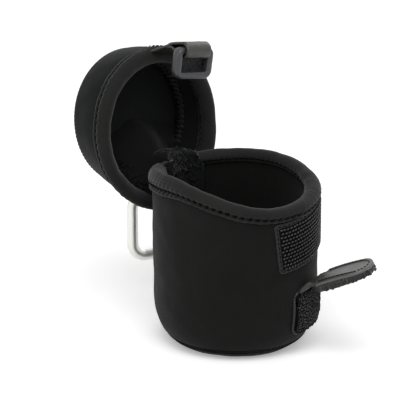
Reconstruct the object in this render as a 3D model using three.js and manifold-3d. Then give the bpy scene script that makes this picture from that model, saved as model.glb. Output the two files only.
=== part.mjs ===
// A small soft pouch for a camera lens, standing open on a flat surface.
// Millimetres, +Z up. The origin is on the floor at the centre of the pouch,
// the hinge of the lid is towards +Y and the front is towards -Y.
// The lid is modelled closed and then turned open about its hinge.

import * as THREE from 'three';
import { mergeVertices } from 'three/addons/utils/BufferGeometryUtils.js';
import Module from 'manifold-3d';

const wasm = await Module();
wasm.setup();

const degrees = Math.PI / 180;

// Pouch body, round at the floor and pulled a little oval at the mouth
const bodyRadius = 41.5;
const bodyHeight = 85.8;
const wallThickness = 4.2;
const cornerReach = 12.5;
const cornerRise = 22;
const mouthOvalShare = 0.07;
const mouthShift = 1.5;
const rimSaddle = 2.4;
const rimSlant = 3.5 * degrees;
const padInset = 0.5;
const padRadius = bodyRadius - cornerReach - padInset;
const padThickness = 4;
const padRound = 1.2;

// Clearances and small sewn parts
const seatGap = 0.3;
const seamWidth = 2.2;
const seamProud = 0.9;
const baseSeamTurn = 36 * degrees;
const bindingThickness = 1;
const bindingDrop = 6.5;
const bindingRound = 2;

// Lid, with a round rim and a smaller flat top set towards the front
const lidRadius = 40.7;
const lidHeight = 26;
const lidTopRadius = 36.2;
const lidTopForward = 9.3;
const lidTopOvalShare = -0.04;
const lidForward = 4;
const lidSaddle = 1.2;
const lidCorner = 4;
const lidSeamTurn = 45 * degrees;
const lidBulge = 0.6;
const lipGap = 1.6;
const lidOpenAngle = 103.8 * degrees;
const lidBackAngle = 50 * degrees;
const splitAngle = 0.6 * degrees;

// Hinge strip and the axis that the lid turns about
const hingeWidth = 28;
const hingeThickness = 3;
const hingeTail = 18;
const hingeHump = 4.6;
const hingeEndInset = 2;
const hingeSeamRun = 7;
const hingeApproach = 5.5;
const hingeSideGap = 1.6;
const hingeAxisInset = 15.7;
const hingeAxisDrop = 15;

// Closure at the front
const closureTurn = 14 * degrees;
const tapeThickness = 2.2;
const leatherThickness = 1.6;
const patchWidth = 44;
const patchHeight = 30;
const patchDrop = 7.6;
const patchRound = 2;
const patchBottom = bodyHeight - patchDrop - patchHeight;
const rootWidth = 25.5;
const rootBottom = 12;
const rootDrop = 10.2;
const rootHeight = patchBottom - rootDrop - rootBottom;
const rootRound = 5;
const strapWidth = 18;
const strapReach = 27;
const strapLift = 11.5;
const strapRoll = 20 * degrees;
const strapBow = 1.6;
const strapPoint = 9;
const neckLength = 6.4;
const neckLift = 2.4;
const neckWidth = 13;
const neckThickness = 2.6;

// Ring and its leather tab on the lid
const ringTurn = 10 * degrees;
const ringOpeningWidth = 17.4;
const ringOpeningHeight = 8.9;
const ringBar = 3.8;
const ringDepth = 5;
const ringCorner = 2.5;
const ringSquareness = 0.6;
const ringWrapShare = 0.53;
const tabWidth = 16.2;
const tabReach = 23.2;
const tabRootHeight = 13;
const tabThickness = 1.5;
const tabFoldBack = 11;
const tabDroop = 0.5 * degrees;
const tabBendGap = 0.5;

// Hanging loop and the spring hook on it
const hangTurn = 20.5 * degrees;
const hookTurn = -20 * degrees;
const loopWidth = 9;
const loopThickness = 1.4;
const loopDrop = 9.4;
const rodDiameter = 6;
const hookWidth = 26.4;
const hookHeight = 42.6;
const hookFootRound = 7.5;
const gateDiameter = 5.2;
const gateTop = -1.4;
const gateSlot = 2.4;
const gateHeel = 2;
const tongueEndGap = 1.6;
const shoulderRise = 0.3;
const tongueThickness = 1.8;
const tongueWidth = 4;
const gatePinDiameter = 1.6;
const pinGap = 0.25;
const noseGap = 0.5;

// Overrun for cuts that pass right through
const overrun = 1;

// How finely round shapes are divided
const ringSteps = 48;
const lidFrontSteps = 36;
const lidBackSteps = 14;
const rodSides = 12;

// Finishes
const neoprene = { color: 0x1c1c1e, roughness: 0.92, metalness: 0 };
const bindingCloth = { color: 0x19191a, roughness: 0.86, metalness: 0 };
const thread = { color: 0x0d0d0e, roughness: 0.7, metalness: 0 };
const hookTape = { color: 0x111112, roughness: 1, metalness: 0 };
const leather = { color: 0x1a1918, roughness: 0.5, metalness: 0 };
const ringFinish = { color: 0x0e0e10, roughness: 0.25, metalness: 0.3 };
const webbing = { color: 0x141415, roughness: 0.9, metalness: 0 };
const aluminium = { color: 0xb9bab6, roughness: 0.42, metalness: 1 };
const steel = { color: 0x9a9a9a, roughness: 0.35, metalness: 1 };

function mix(from, to, share) {
  return from + (to - from) * share;
}

function eased(share) {
  const held = Math.min(Math.max(share, 0), 1);
  return held * held * (3 - 2 * held);
}

// A solid from a row of outlines with the same number of points each.
// Closed rows join the last outline to the first, open rows are capped.
function loft(outlines, { closed = false, cap = null } = {}) {
  const count = outlines[0].length;
  const positions = [];
  for (const outline of outlines) {
    for (const point of outline) {
      positions.push(point.x, point.y, point.z);
    }
  }
  const faces = [];
  const spans = closed ? outlines.length : outlines.length - 1;
  for (let span = 0; span < spans; span += 1) {
    const near = span * count;
    const far = ((span + 1) % outlines.length) * count;
    for (let step = 0; step < count; step += 1) {
      const next = (step + 1) % count;
      faces.push([near + step, near + next, far + next]);
      faces.push([near + step, far + next, far + step]);
    }
  }
  if (!closed) {
    const flat = cap ?? outlines[0].map((point) => new THREE.Vector2(point.x, point.y));
    const last = (outlines.length - 1) * count;
    for (const [a, b, c] of THREE.ShapeUtils.triangulateShape(orderedOutline(flat), [])) {
      const [p, q, r] = [a, b, c].map((index) => sourceIndex(flat, index));
      faces.push([p, r, q]);
      faces.push([last + p, last + q, last + r]);
    }
  }
  return facedOutward(positions, faces);
}

// Triangulation needs an outline that runs anticlockwise
function orderedOutline(flat) {
  return THREE.ShapeUtils.area(flat) > 0 ? flat : [...flat].reverse();
}

function sourceIndex(flat, index) {
  return THREE.ShapeUtils.area(flat) > 0 ? index : flat.length - 1 - index;
}

// Faces are turned where the enclosed volume comes out negative, and the caps
// follow the sense of the sides by testing the edge that they share.
function facedOutward(positions, faces) {
  const at = (index) => new THREE.Vector3().fromArray(positions, 3 * index);
  const sides = new Map();
  for (const face of faces) {
    for (let corner = 0; corner < 3; corner += 1) {
      const key = [face[corner], face[(corner + 1) % 3]].sort((p, q) => p - q).join();
      if (!sides.has(key)) sides.set(key, []);
      sides.get(key).push(face);
    }
  }
  const seen = new Set([faces[0]]);
  const queue = [faces[0]];
  while (queue.length > 0) {
    const face = queue.pop();
    for (let corner = 0; corner < 3; corner += 1) {
      const from = face[corner];
      const to = face[(corner + 1) % 3];
      const key = [from, to].sort((p, q) => p - q).join();
      for (const other of sides.get(key)) {
        if (seen.has(other)) continue;
        const start = other.indexOf(from);
        if (other[(start + 1) % 3] === to) other.reverse();
        seen.add(other);
        queue.push(other);
      }
    }
  }
  let volume = 0;
  for (const [a, b, c] of faces) {
    volume += at(a).dot(at(b).cross(at(c)));
  }
  if (volume < 0) faces.forEach((face) => face.reverse());
  const geometry = new THREE.BufferGeometry();
  geometry.setAttribute('position', new THREE.Float32BufferAttribute(positions, 3));
  geometry.setIndex(faces.flat());
  geometry.computeVertexNormals();
  return geometry;
}

// Flat points of an arc with a given half width and rise, ends included
function archPoints(halfWidth, rise, steps) {
  const points = [];
  for (let step = 0; step <= steps; step += 1) {
    const turn = Math.PI * (step / steps);
    points.push(new THREE.Vector2(-halfWidth * Math.cos(turn), rise * Math.sin(turn)));
  }
  return points;
}

// A signed power, which squares off a round section as the power drops below one
function squared(value, power) {
  return Math.sign(value) * Math.abs(value) ** power;
}

// A bar of round or squared section along a path of points in the XZ plane
function rod(points, diameter, { closed = false, sides = rodSides, depth = diameter, power = 1 } = {}) {
  const outlines = points.map((point, index) => {
    const before = points[closed ? (index - 1 + points.length) % points.length : Math.max(index - 1, 0)];
    const after = points[closed ? (index + 1) % points.length : Math.min(index + 1, points.length - 1)];
    const along = after.clone().sub(before).normalize();
    const across = new THREE.Vector3(0, 1, 0);
    const lift = along.clone().cross(across).normalize();
    const outline = [];
    for (let side = 0; side < sides; side += 1) {
      const turn = (2 * Math.PI * side) / sides;
      outline.push(
        point.clone()
          .addScaledVector(across, (depth / 2) * squared(Math.cos(turn), power))
          .addScaledVector(lift, (diameter / 2) * squared(Math.sin(turn), power)),
      );
    }
    return outline;
  });
  const cap = [];
  for (let side = 0; side < sides; side += 1) {
    const turn = (2 * Math.PI * side) / sides;
    cap.push(new THREE.Vector2(Math.cos(turn), Math.sin(turn)));
  }
  return loft(outlines, { closed, cap });
}

// Arc in the XZ plane, ends included
function arcPoints(centre, radius, from, to, steps) {
  const points = [];
  for (let step = 0; step <= steps; step += 1) {
    const turn = mix(from, to, step / steps);
    points.push(new THREE.Vector3(
      centre.x + radius * Math.cos(turn), centre.y, centre.z + radius * Math.sin(turn)));
  }
  return points;
}

function toManifold(geometry) {
  const plain = geometry.clone();
  plain.deleteAttribute('normal');
  plain.deleteAttribute('uv');
  const merged = mergeVertices(plain);
  return new wasm.Manifold(new wasm.Mesh({
    numProp: 3,
    vertProperties: new Float32Array(merged.attributes.position.array),
    triVerts: new Uint32Array(merged.index.array),
  }));
}

function fromManifold(solid) {
  const mesh = solid.getMesh();
  const geometry = new THREE.BufferGeometry();
  geometry.setAttribute('position', new THREE.BufferAttribute(mesh.vertProperties, 3));
  geometry.setIndex(new THREE.BufferAttribute(mesh.triVerts, 1));
  geometry.computeVertexNormals();
  return geometry;
}

function piece(name, geometry, finish) {
  const mesh = new THREE.Mesh(geometry, new THREE.MeshStandardMaterial(finish));
  mesh.name = name;
  return mesh;
}

// A point of the pouch body. turn runs from the back towards +X, radius is
// measured before the mouth is pulled oval, and level before the rim dips.
function pouchPoint(turn, radius, level) {
  const share = eased(level / bodyHeight);
  const reach = radius + bodyRadius * mouthOvalShare * share * Math.cos(2 * turn);
  const y = reach * Math.cos(turn) + mouthShift * share;
  const rise = share * (y * Math.tan(rimSlant) - rimSaddle * Math.cos(2 * turn));
  return new THREE.Vector3(reach * Math.sin(turn), y, level + rise);
}

// A point of the closed lid, from its rim at level zero to its top
function lidPoint(turn, inset, level) {
  const share = level / lidHeight;
  const radius = mix(lidRadius, lidTopRadius, share);
  const reach = radius * (1 + lidTopOvalShare * share * Math.cos(2 * turn)) - inset;
  const centre = mouthShift - lidForward - lidTopForward * share;
  const y = reach * Math.cos(turn) + centre;
  const dip = (1 - eased(share)) * lidSaddle * Math.cos(2 * turn);
  const z = bodyHeight + lipGap + level + y * Math.tan(rimSlant) - dip;
  return new THREE.Vector3(reach * Math.sin(turn), y, z);
}

// The hinge axis runs along X through this point
const hingeAxis = new THREE.Vector3(
  0,
  bodyRadius * (1 + mouthOvalShare) + mouthShift - hingeAxisInset,
  bodyHeight - hingeAxisDrop,
);

// Where a point of the closed lid lies when the lid is open
function opened(point) {
  return point.clone().sub(hingeAxis).applyAxisAngle(new THREE.Vector3(1, 0, 0), -lidOpenAngle).add(hingeAxis);
}

// A solid swept round the pouch or lid from a profile of points (x inset, y level)
function sweep(place, profile, from, to, steps) {
  const closed = Math.abs(to - from) > 2 * Math.PI - splitAngle;
  const outlines = [];
  for (let step = 0; step < (closed ? steps : steps + 1); step += 1) {
    const turn = mix(from, to, step / steps);
    outlines.push(profile.map((point) => place(turn, point.x, point.y)));
  }
  return loft(outlines, { closed, cap: closed ? null : profile });
}

// Rings stacked from the bottom up into one solid with flat ends
function stack(place, profile) {
  const outlines = profile.map((point) => {
    const outline = [];
    for (let step = 0; step < ringSteps; step += 1) {
      outline.push(place((2 * Math.PI * step) / ringSteps, point.x, point.y));
    }
    return outline;
  });
  return loft(outlines);
}

// The rounded bottom corner: theta is zero under the floor and a right angle
// at the wall, depth is measured inwards from the outer face
function cornerPoint(theta, depth) {
  const normal = new THREE.Vector2(cornerRise * Math.sin(theta), -cornerReach * Math.cos(theta)).normalize();
  const radius = bodyRadius - cornerReach * (1 - Math.sin(theta));
  const level = cornerRise * (1 - Math.cos(theta));
  return new THREE.Vector2(radius - depth * normal.x, level - depth * normal.y);
}

const wallTop = bodyHeight - bindingThickness - seatGap;
const seamHalfTurn = 1.4 * degrees;

function bodyWall() {
  const outer = [];
  const inner = [];
  const cornerSteps = 5;
  for (let step = 0; step <= cornerSteps; step += 1) {
    const theta = mix(baseSeamTurn + seamHalfTurn, Math.PI / 2, step / cornerSteps);
    outer.push(cornerPoint(theta, 0));
    inner.push(cornerPoint(theta, wallThickness));
  }
  const wallSteps = 5;
  for (let step = 1; step <= wallSteps; step += 1) {
    const level = mix(cornerRise, wallTop, step / wallSteps);
    outer.push(new THREE.Vector2(bodyRadius, level));
    inner.push(new THREE.Vector2(bodyRadius - wallThickness, level));
  }
  const profile = [...outer, ...inner.reverse()];
  return sweep(pouchPoint, profile, 0, 2 * Math.PI, ringSteps);
}

function bodyBase() {
  const profile = [cornerPoint(0, 0)];
  const cornerSteps = 4;
  for (let step = 1; step <= cornerSteps; step += 1) {
    profile.push(cornerPoint(((baseSeamTurn - seamHalfTurn) * step) / cornerSteps, 0));
  }
  profile.push(cornerPoint(baseSeamTurn - seamHalfTurn, wallThickness));
  profile.push(new THREE.Vector2(cornerPoint(0, 0).x, wallThickness));
  return stack(pouchPoint, profile);
}

// Overlocked seam between wall and base, standing a little proud of the corner
function baseSeam() {
  const profile = [];
  const steps = 6;
  for (let step = 0; step < steps; step += 1) {
    const turn = (2 * Math.PI * step) / steps;
    const along = (seamWidth / 2) * Math.cos(turn);
    const proud = seatGap + seamProud / 2 + (seamProud / 2) * Math.sin(turn);
    const theta = baseSeamTurn + along / Math.hypot(cornerReach, cornerRise);
    profile.push(cornerPoint(theta, -proud));
  }
  return sweep(pouchPoint, profile, 0, 2 * Math.PI, ringSteps);
}

function basePad() {
  const bottom = wallThickness + seatGap;
  const top = bottom + padThickness;
  const profile = [
    new THREE.Vector2(padRadius - padRound, bottom),
    new THREE.Vector2(padRadius, bottom + padRound),
    new THREE.Vector2(padRadius, top - padRound),
    new THREE.Vector2(padRadius - padRound, top),
  ];
  return stack((turn, radius, level) => new THREE.Vector3(
    radius * Math.sin(turn), radius * Math.cos(turn), level), profile);
}

// Tape folded over an edge: points (x inset from the outer face, y level below
// or above the edge of the lip), with sense 1 for the mouth and -1 for the lid
function bindingProfile(sense) {
  const outside = seatGap + bindingThickness;
  const halfWidth = wallThickness / 2 + outside;
  const profile = archPoints(halfWidth, bindingRound, 6).map((point) => new THREE.Vector2(
    point.x + wallThickness / 2, sense * (point.y - bindingRound)));
  profile.push(new THREE.Vector2(wallThickness + outside, -sense * bindingDrop));
  profile.push(new THREE.Vector2(wallThickness + seatGap, -sense * bindingDrop));
  profile.push(new THREE.Vector2(wallThickness + seatGap, -sense * bindingThickness));
  profile.push(new THREE.Vector2(-seatGap, -sense * bindingThickness));
  profile.push(new THREE.Vector2(-seatGap, -sense * bindingDrop));
  profile.push(new THREE.Vector2(-outside, -sense * bindingDrop));
  return profile;
}

const hingeGapTurn = Math.asin((hingeWidth / 2 + hingeSideGap) / bodyRadius);

function bodyBinding() {
  const profile = bindingProfile(1).map((point) => new THREE.Vector2(
    bodyRadius - point.x, bodyHeight + point.y));
  return sweep(pouchPoint, profile, hingeGapTurn, 2 * Math.PI - hingeGapTurn, ringSteps);
}

// Section of the lid wall, with its bottom edge seated in the binding and its
// top cut where it meets the flat top
function lidWallProfile() {
  const outer = [];
  const inner = [];
  const bottom = bindingThickness + seatGap;
  outer.push(new THREE.Vector2(0, bottom));
  const wallSteps = 4;
  for (let step = 0; step <= wallSteps; step += 1) {
    const share = step / wallSteps;
    const bulge = lidBulge * Math.sin(Math.PI * share);
    outer.push(new THREE.Vector2(-bulge, mix(bindingDrop, lidHeight - lidCorner, share)));
  }
  const cornerSteps = 2;
  const cornerEnd = 36 * degrees;
  for (let step = 1; step <= cornerSteps; step += 1) {
    const turn = (cornerEnd * step) / cornerSteps;
    outer.push(new THREE.Vector2(
      lidCorner * (1 - Math.cos(turn)), lidHeight - lidCorner * (1 - Math.sin(turn))));
  }
  inner.push(new THREE.Vector2(wallThickness, lidHeight - wallThickness - 2 * seatGap));
  inner.push(new THREE.Vector2(wallThickness - lidBulge, mix(bottom, lidHeight, 1 / 2)));
  inner.push(new THREE.Vector2(wallThickness, bottom));
  return [...outer, ...inner];
}

function lidTop() {
  const start = 54 * degrees;
  const profile = [
    new THREE.Vector2(lidCorner + seatGap, lidHeight - wallThickness),
    new THREE.Vector2(wallThickness - seatGap, lidHeight - wallThickness + seatGap),
  ];
  const cornerSteps = 3;
  for (let step = 0; step <= cornerSteps; step += 1) {
    const turn = mix(start, Math.PI / 2, step / cornerSteps);
    profile.push(new THREE.Vector2(
      lidCorner * (1 - Math.cos(turn)), lidHeight - lidCorner * (1 - Math.sin(turn))));
  }
  return stack(lidPoint, profile);
}

// Overlocked seam round the edge of the flat top
function lidSeam() {
  const profile = [];
  const steps = 6;
  for (let step = 0; step < steps; step += 1) {
    const turn = (2 * Math.PI * step) / steps;
    const around = lidSeamTurn + ((seamWidth / 2) * Math.cos(turn)) / lidCorner;
    const reach = lidCorner + seatGap + seamProud / 2 + (seamProud / 2) * Math.sin(turn);
    profile.push(new THREE.Vector2(
      lidCorner - reach * Math.cos(around), lidHeight - lidCorner + reach * Math.sin(around)));
  }
  return sweep(lidPoint, profile, 0, 2 * Math.PI, ringSteps);
}

// The soft strip that joins the lid to the back of the pouch. It is sewn inside
// the back wall, humps over the rim and is sewn flat inside the lid. One line of
// it lies at share -1 to 1 of its half width.
function hingeLine(share) {
  const half = hingeThickness / 2;
  const aside = (share * hingeWidth) / 2;
  const turn = Math.asin(aside / bodyRadius);
  const inside = bodyRadius - wallThickness - 2 * seatGap - half;
  const under = lidHeight - wallThickness - seatGap - half;
  const edgeInset = wallThickness + hingeEndInset;
  const seatInset = edgeInset + hingeSeamRun;
  const lidTurn = Math.asin(aside / lidTopRadius);
  const lidEdge = opened(lidPoint(lidTurn, edgeInset, under)).setX(aside);
  const lidSeat = opened(lidPoint(lidTurn, seatInset, under - 2 * seatGap)).setX(aside);
  const approach = opened(lidPoint(lidTurn, seatInset + hingeApproach, under - hingeApproach)).setX(aside);
  const crest = pouchPoint(turn, bodyRadius - wallThickness / 2, bodyHeight);
  crest.z += hingeHump;
  return new THREE.CatmullRomCurve3([
    pouchPoint(turn, inside, bodyHeight - hingeTail),
    pouchPoint(turn, inside, bodyHeight - hingeTail / 2),
    pouchPoint(turn, inside, bodyHeight - bindingRound),
    crest,
    approach,
    lidSeat,
    lidEdge,
  ], false, 'centripetal');
}

function hingeStrip() {
  const shares = [-1, -2 / 3, -1 / 3, 0, 1 / 3, 2 / 3, 1];
  const lines = shares.map(hingeLine);
  const steps = 24;
  const outlines = [];
  for (let step = 0; step <= steps; step += 1) {
    const under = [];
    const over = [];
    for (const line of lines) {
      const point = line.getPointAt(step / steps);
      const lift = new THREE.Vector3(1, 0, 0).cross(line.getTangentAt(step / steps)).normalize();
      under.push(point.clone().addScaledVector(lift, -hingeThickness / 2));
      over.push(point.clone().addScaledVector(lift, hingeThickness / 2));
    }
    outlines.push([...under, ...over.reverse()]);
  }
  const lower = shares.map((share) => new THREE.Vector2(share, share ** 2 - 2));
  const upper = shares.map((share) => new THREE.Vector2(-share, 2 - share ** 2));
  return loft(outlines, { cap: [...lower, ...upper] });
}

// Four corners of a strip's section
function sectionAcross(point, across, lift, width, thickness) {
  return flatBox().map((corner) => point.clone()
    .addScaledVector(across, corner.x * width)
    .addScaledVector(lift, corner.y * thickness));
}

function flatBox() {
  return [
    new THREE.Vector2(-1 / 2, -1 / 2),
    new THREE.Vector2(1 / 2, -1 / 2),
    new THREE.Vector2(1 / 2, 1 / 2),
    new THREE.Vector2(-1 / 2, 1 / 2),
  ];
}

// Outer radius of the body at a level, corner included
function bodyReach(level) {
  const share = Math.min(level / cornerRise, 1);
  return bodyRadius - cornerReach * (1 - Math.sqrt(1 - (1 - share) ** 2));
}

// A patch that follows the body, centred on the closure, with round corners.
// The lift is measured outwards from the wall.
function bodyPatch(width, bottom, height, round, lift, thickness) {
  const halfTurn = width / 2 / bodyRadius;
  const steps = 14;
  const rows = 4;
  const outlines = [];
  for (let step = 0; step <= steps; step += 1) {
    const along = mix(-1, 1, step / steps);
    const fromEnd = (1 - Math.abs(along)) * halfTurn * bodyRadius;
    const cut = fromEnd < round ? round - Math.sqrt(round ** 2 - (round - fromEnd) ** 2) : 0;
    const turn = Math.PI - closureTurn + along * halfTurn;
    const near = [];
    const far = [];
    for (let row = 0; row <= rows; row += 1) {
      const level = mix(bottom + cut, bottom + height - cut, row / rows);
      near.push(pouchPoint(turn, bodyReach(level) + lift, level));
      far.push(pouchPoint(turn, bodyReach(level) + lift + thickness, level));
    }
    outlines.push([...near, ...far.reverse()]);
  }
  const lower = [];
  const upper = [];
  for (let row = 0; row <= rows; row += 1) {
    const along = mix(-1, 1, row / rows);
    lower.push(new THREE.Vector2(along, along ** 2 - 2));
    upper.push(new THREE.Vector2(-along, 2 - along ** 2));
  }
  return loft(outlines, { cap: [...lower, ...upper] });
}

// Directions at the closure, in the plan of the pouch
const outward = new THREE.Vector3(Math.sin(closureTurn), -Math.cos(closureTurn), 0);
const sideways = new THREE.Vector3(Math.cos(closureTurn), Math.sin(closureTurn), 0);

const rootTop = rootBottom + rootHeight;

// The strap bends out of its root about a line along the wall at this point
const strapAxis = pouchPoint(
  Math.PI - closureTurn,
  bodyRadius + seatGap + leatherThickness,
  rootTop + 2 * seatGap + neckThickness / 2,
);

function strapPath(from, to, bow) {
  const middle = from.clone().lerp(to, 1 / 2).add(new THREE.Vector3(0, 0, bow));
  return new THREE.QuadraticBezierCurve3(from, middle, to);
}

const neckEnd = strapAxis.clone()
  .addScaledVector(outward, neckLength)
  .add(new THREE.Vector3(0, 0, neckLift));
const strapTip = neckEnd.clone()
  .addScaledVector(outward, strapReach)
  .add(new THREE.Vector3(0, 0, strapLift));

// A strip along the strap's path, with the width and the roll given along it
// and the offset of its middle above the path
function strapStrip(path, widthAt, rollAt, offset, thickness, steps) {
  const outlines = [];
  for (let step = 0; step <= steps; step += 1) {
    const share = step / steps;
    const along = path.getTangentAt(share);
    const across = sideways.clone().applyAxisAngle(along, rollAt(share));
    const lift = along.clone().cross(across).normalize();
    const point = path.getPointAt(share).addScaledVector(lift, offset);
    outlines.push(sectionAcross(point, across, lift, widthAt(share), thickness));
  }
  return loft(outlines, { cap: flatBox() });
}

function strapNeck() {
  const gapShare = (3 * seatGap) / neckLength;
  const start = strapAxis.clone().addScaledVector(outward, seatGap);
  const end = neckEnd.clone().lerp(strapAxis, gapShare);
  const path = strapPath(start, end, -neckLift / 2);
  return strapStrip(path, () => neckWidth, (share) => share ** 2 * strapRoll, 0, neckThickness, 5);
}

// Width of the strap at a share of its length: square shoulders and a round point
function strapWidthAt(share) {
  const length = strapTip.distanceTo(neckEnd);
  const fromTip = (1 - share) * length;
  if (fromTip >= strapPoint) return strapWidth;
  const tipShare = 0.16;
  const sag = 1 - fromTip / strapPoint;
  return strapWidth * Math.max(Math.sqrt(1 - sag ** 2), tipShare);
}

function strapLayer(offset, thickness) {
  const path = strapPath(neckEnd, strapTip, strapBow);
  return strapStrip(path, strapWidthAt, () => strapRoll, offset, thickness, 18);
}

// Leather tab sewn on the lid over its binding, before it bends
const tabLift = seatGap + bindingThickness + seatGap;

function tabRoot() {
  const halfTurn = tabWidth / 2 / lidRadius;
  const steps = 8;
  const outlines = [];
  for (let step = 0; step <= steps; step += 1) {
    const turn = Math.PI - ringTurn + mix(-halfTurn, halfTurn, step / steps);
    outlines.push([
      lidPoint(turn, -tabLift, tabBendGap),
      lidPoint(turn, -tabLift - tabThickness, tabBendGap),
      lidPoint(turn, -tabLift - tabThickness, tabRootHeight),
      lidPoint(turn, -tabLift, tabRootHeight),
    ]);
  }
  return loft(outlines, { cap: flatBox() });
}

// Middle line of the tab's fold round the ring's top bar
const tabBend = ringDepth * ringWrapShare + seatGap + tabThickness / 2;

// The free part of the tab, in its own frame: it hangs down from the bend at
// the origin, goes round the top bar of the ring and comes back up behind
function ringTab() {
  const points = [new THREE.Vector3(0, 0, -tabBendGap)];
  const shoulderShare = 2.2;
  const shoulder = shoulderShare * tabBend;
  points.push(new THREE.Vector3(0, 0, shoulder - tabReach));
  const foldSteps = 8;
  const foldTurn = 218 * degrees;
  for (let step = 0; step <= foldSteps; step += 1) {
    const turn = foldTurn * (step / foldSteps);
    points.push(new THREE.Vector3(
      0, tabBend - tabBend * Math.cos(turn), -tabReach - tabBend * Math.sin(turn)));
  }
  points.push(new THREE.Vector3(0, tabThickness + seatGap, shoulder - tabReach));
  points.push(new THREE.Vector3(0, tabThickness + seatGap, tabFoldBack - tabReach));
  const outlines = points.map((point, index) => {
    const before = points[Math.max(index - 1, 0)];
    const after = points[Math.min(index + 1, points.length - 1)];
    const along = after.clone().sub(before).normalize();
    const lift = new THREE.Vector3(1, 0, 0).cross(along).normalize();
    return sectionAcross(point, new THREE.Vector3(1, 0, 0), lift, tabWidth, tabThickness);
  });
  return loft(outlines, { cap: flatBox() });
}

// The ring, in its own frame: its top bar runs along X through the origin
function ring() {
  const halfWidth = (ringOpeningWidth + ringBar) / 2;
  const height = ringOpeningHeight + ringBar;
  const points = [];
  const corners = [
    [halfWidth - ringCorner, -ringCorner, 0],
    [-halfWidth + ringCorner, -ringCorner, Math.PI / 2],
    [-halfWidth + ringCorner, -height + ringCorner, Math.PI],
    [halfWidth - ringCorner, -height + ringCorner, -Math.PI / 2],
  ];
  for (const [x, z, from] of corners) {
    points.push(...arcPoints(new THREE.Vector3(x, 0, z), ringCorner, from, from + Math.PI / 2, 4));
  }
  return rod(points, ringBar, { closed: true, depth: ringDepth, power: ringSquareness });
}

// Webbing loop that carries the hook, in its own frame: both ends are sewn at
// the origin and the fold hangs below it
function hangLoop() {
  const inner = rodDiameter / 2 + 2 * seatGap;
  const bend = inner + loopThickness / 2;
  const points = [];
  points.push(new THREE.Vector3(0, -loopThickness / 2 - seatGap / 2, 0));
  const foldSteps = 10;
  for (let step = 0; step <= foldSteps; step += 1) {
    const turn = mix(-Math.PI / 6, Math.PI + Math.PI / 6, step / foldSteps);
    points.push(new THREE.Vector3(0, -bend * Math.cos(turn), -loopDrop - bend * Math.sin(turn)));
  }
  points.push(new THREE.Vector3(0, loopThickness / 2 + seatGap / 2, 0));
  const outlines = points.map((point, index) => {
    const before = points[Math.max(index - 1, 0)];
    const after = points[Math.min(index + 1, points.length - 1)];
    const along = after.clone().sub(before).normalize();
    const lift = new THREE.Vector3(1, 0, 0).cross(along).normalize();
    return sectionAcross(point, new THREE.Vector3(1, 0, 0), lift, loopWidth, loopThickness);
  });
  return loft(outlines, { cap: flatBox() });
}

// Sizes of the hook's centre line, with the middle of its top arc at the origin
const hookHalf = (hookWidth - rodDiameter) / 2;
const hookFoot = -(hookHeight - rodDiameter - hookHalf);
const footCentre = hookFoot + hookFootRound;
const shoulderLevel = footCentre + shoulderRise;
const gateHinge = shoulderLevel + 3 * noseGap + gateHeel;

function hookBody() {
  const centre = new THREE.Vector3(0, 0, 0);
  const right = hookHalf - hookFootRound;
  const points = [
    new THREE.Vector3(hookHalf, 0, gateTop),
    ...arcPoints(centre, hookHalf, 0, Math.PI, 18),
    ...arcPoints(new THREE.Vector3(-right, 0, footCentre), hookFootRound, Math.PI, 1.5 * Math.PI, 8),
    ...arcPoints(new THREE.Vector3(right, 0, footCentre), hookFootRound, -Math.PI / 2, 0, 8),
    new THREE.Vector3(hookHalf, 0, shoulderLevel),
  ];
  const bent = rod(points, rodDiameter);
  const tongueHeight = gateHinge + tongueWidth / 2 - shoulderLevel + overrun;
  const tongue = new THREE.BoxGeometry(tongueWidth, tongueThickness, tongueHeight);
  tongue.translate(hookHalf, 0, gateHinge + tongueWidth / 2 - tongueHeight / 2);
  const bore = pinCylinder(gatePinDiameter + 2 * pinGap, rodDiameter + 2 * overrun);
  const solid = toManifold(bent).add(toManifold(tongue)).subtract(toManifold(bore));
  return fromManifold(solid);
}

// A cylinder across the hook at the hinge of its gate
function pinCylinder(diameter, length) {
  const cylinder = new THREE.CylinderGeometry(diameter / 2, diameter / 2, length, rodSides);
  cylinder.translate(hookHalf, 0, 0);
  const placed = cylinder.translate(0, 0, gateHinge);
  return placed;
}

function hookGate() {
  const length = gateTop - noseGap - gateHinge + gateHeel;
  const bar = new THREE.CylinderGeometry(gateDiameter / 2, gateDiameter / 2, length, 2 * rodSides);
  bar.rotateX(Math.PI / 2);
  bar.translate(hookHalf, 0, gateHinge - gateHeel + length / 2);
  const slotDepth = gateHeel + tongueWidth / 2 + tongueEndGap;
  const slotHeight = slotDepth + overrun;
  const slot = new THREE.BoxGeometry(gateDiameter + 2 * overrun, gateSlot, slotHeight);
  slot.translate(hookHalf, 0, gateHinge - gateHeel + slotDepth - slotHeight / 2);
  const bore = pinCylinder(gatePinDiameter + 2 * pinGap, gateDiameter + 2 * overrun);
  return fromManifold(toManifold(bar).subtract(toManifold(slot)).subtract(toManifold(bore)));
}

// The pouch itself
const group = new THREE.Group();
group.add(piece('body_wall', bodyWall(), neoprene));
group.add(piece('body_base', bodyBase(), neoprene));
group.add(piece('base_seam', baseSeam(), thread));
group.add(piece('base_pad', basePad(), neoprene));
group.add(piece('body_binding', bodyBinding(), bindingCloth));
group.add(piece('hinge_strip', hingeStrip(), neoprene));

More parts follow.
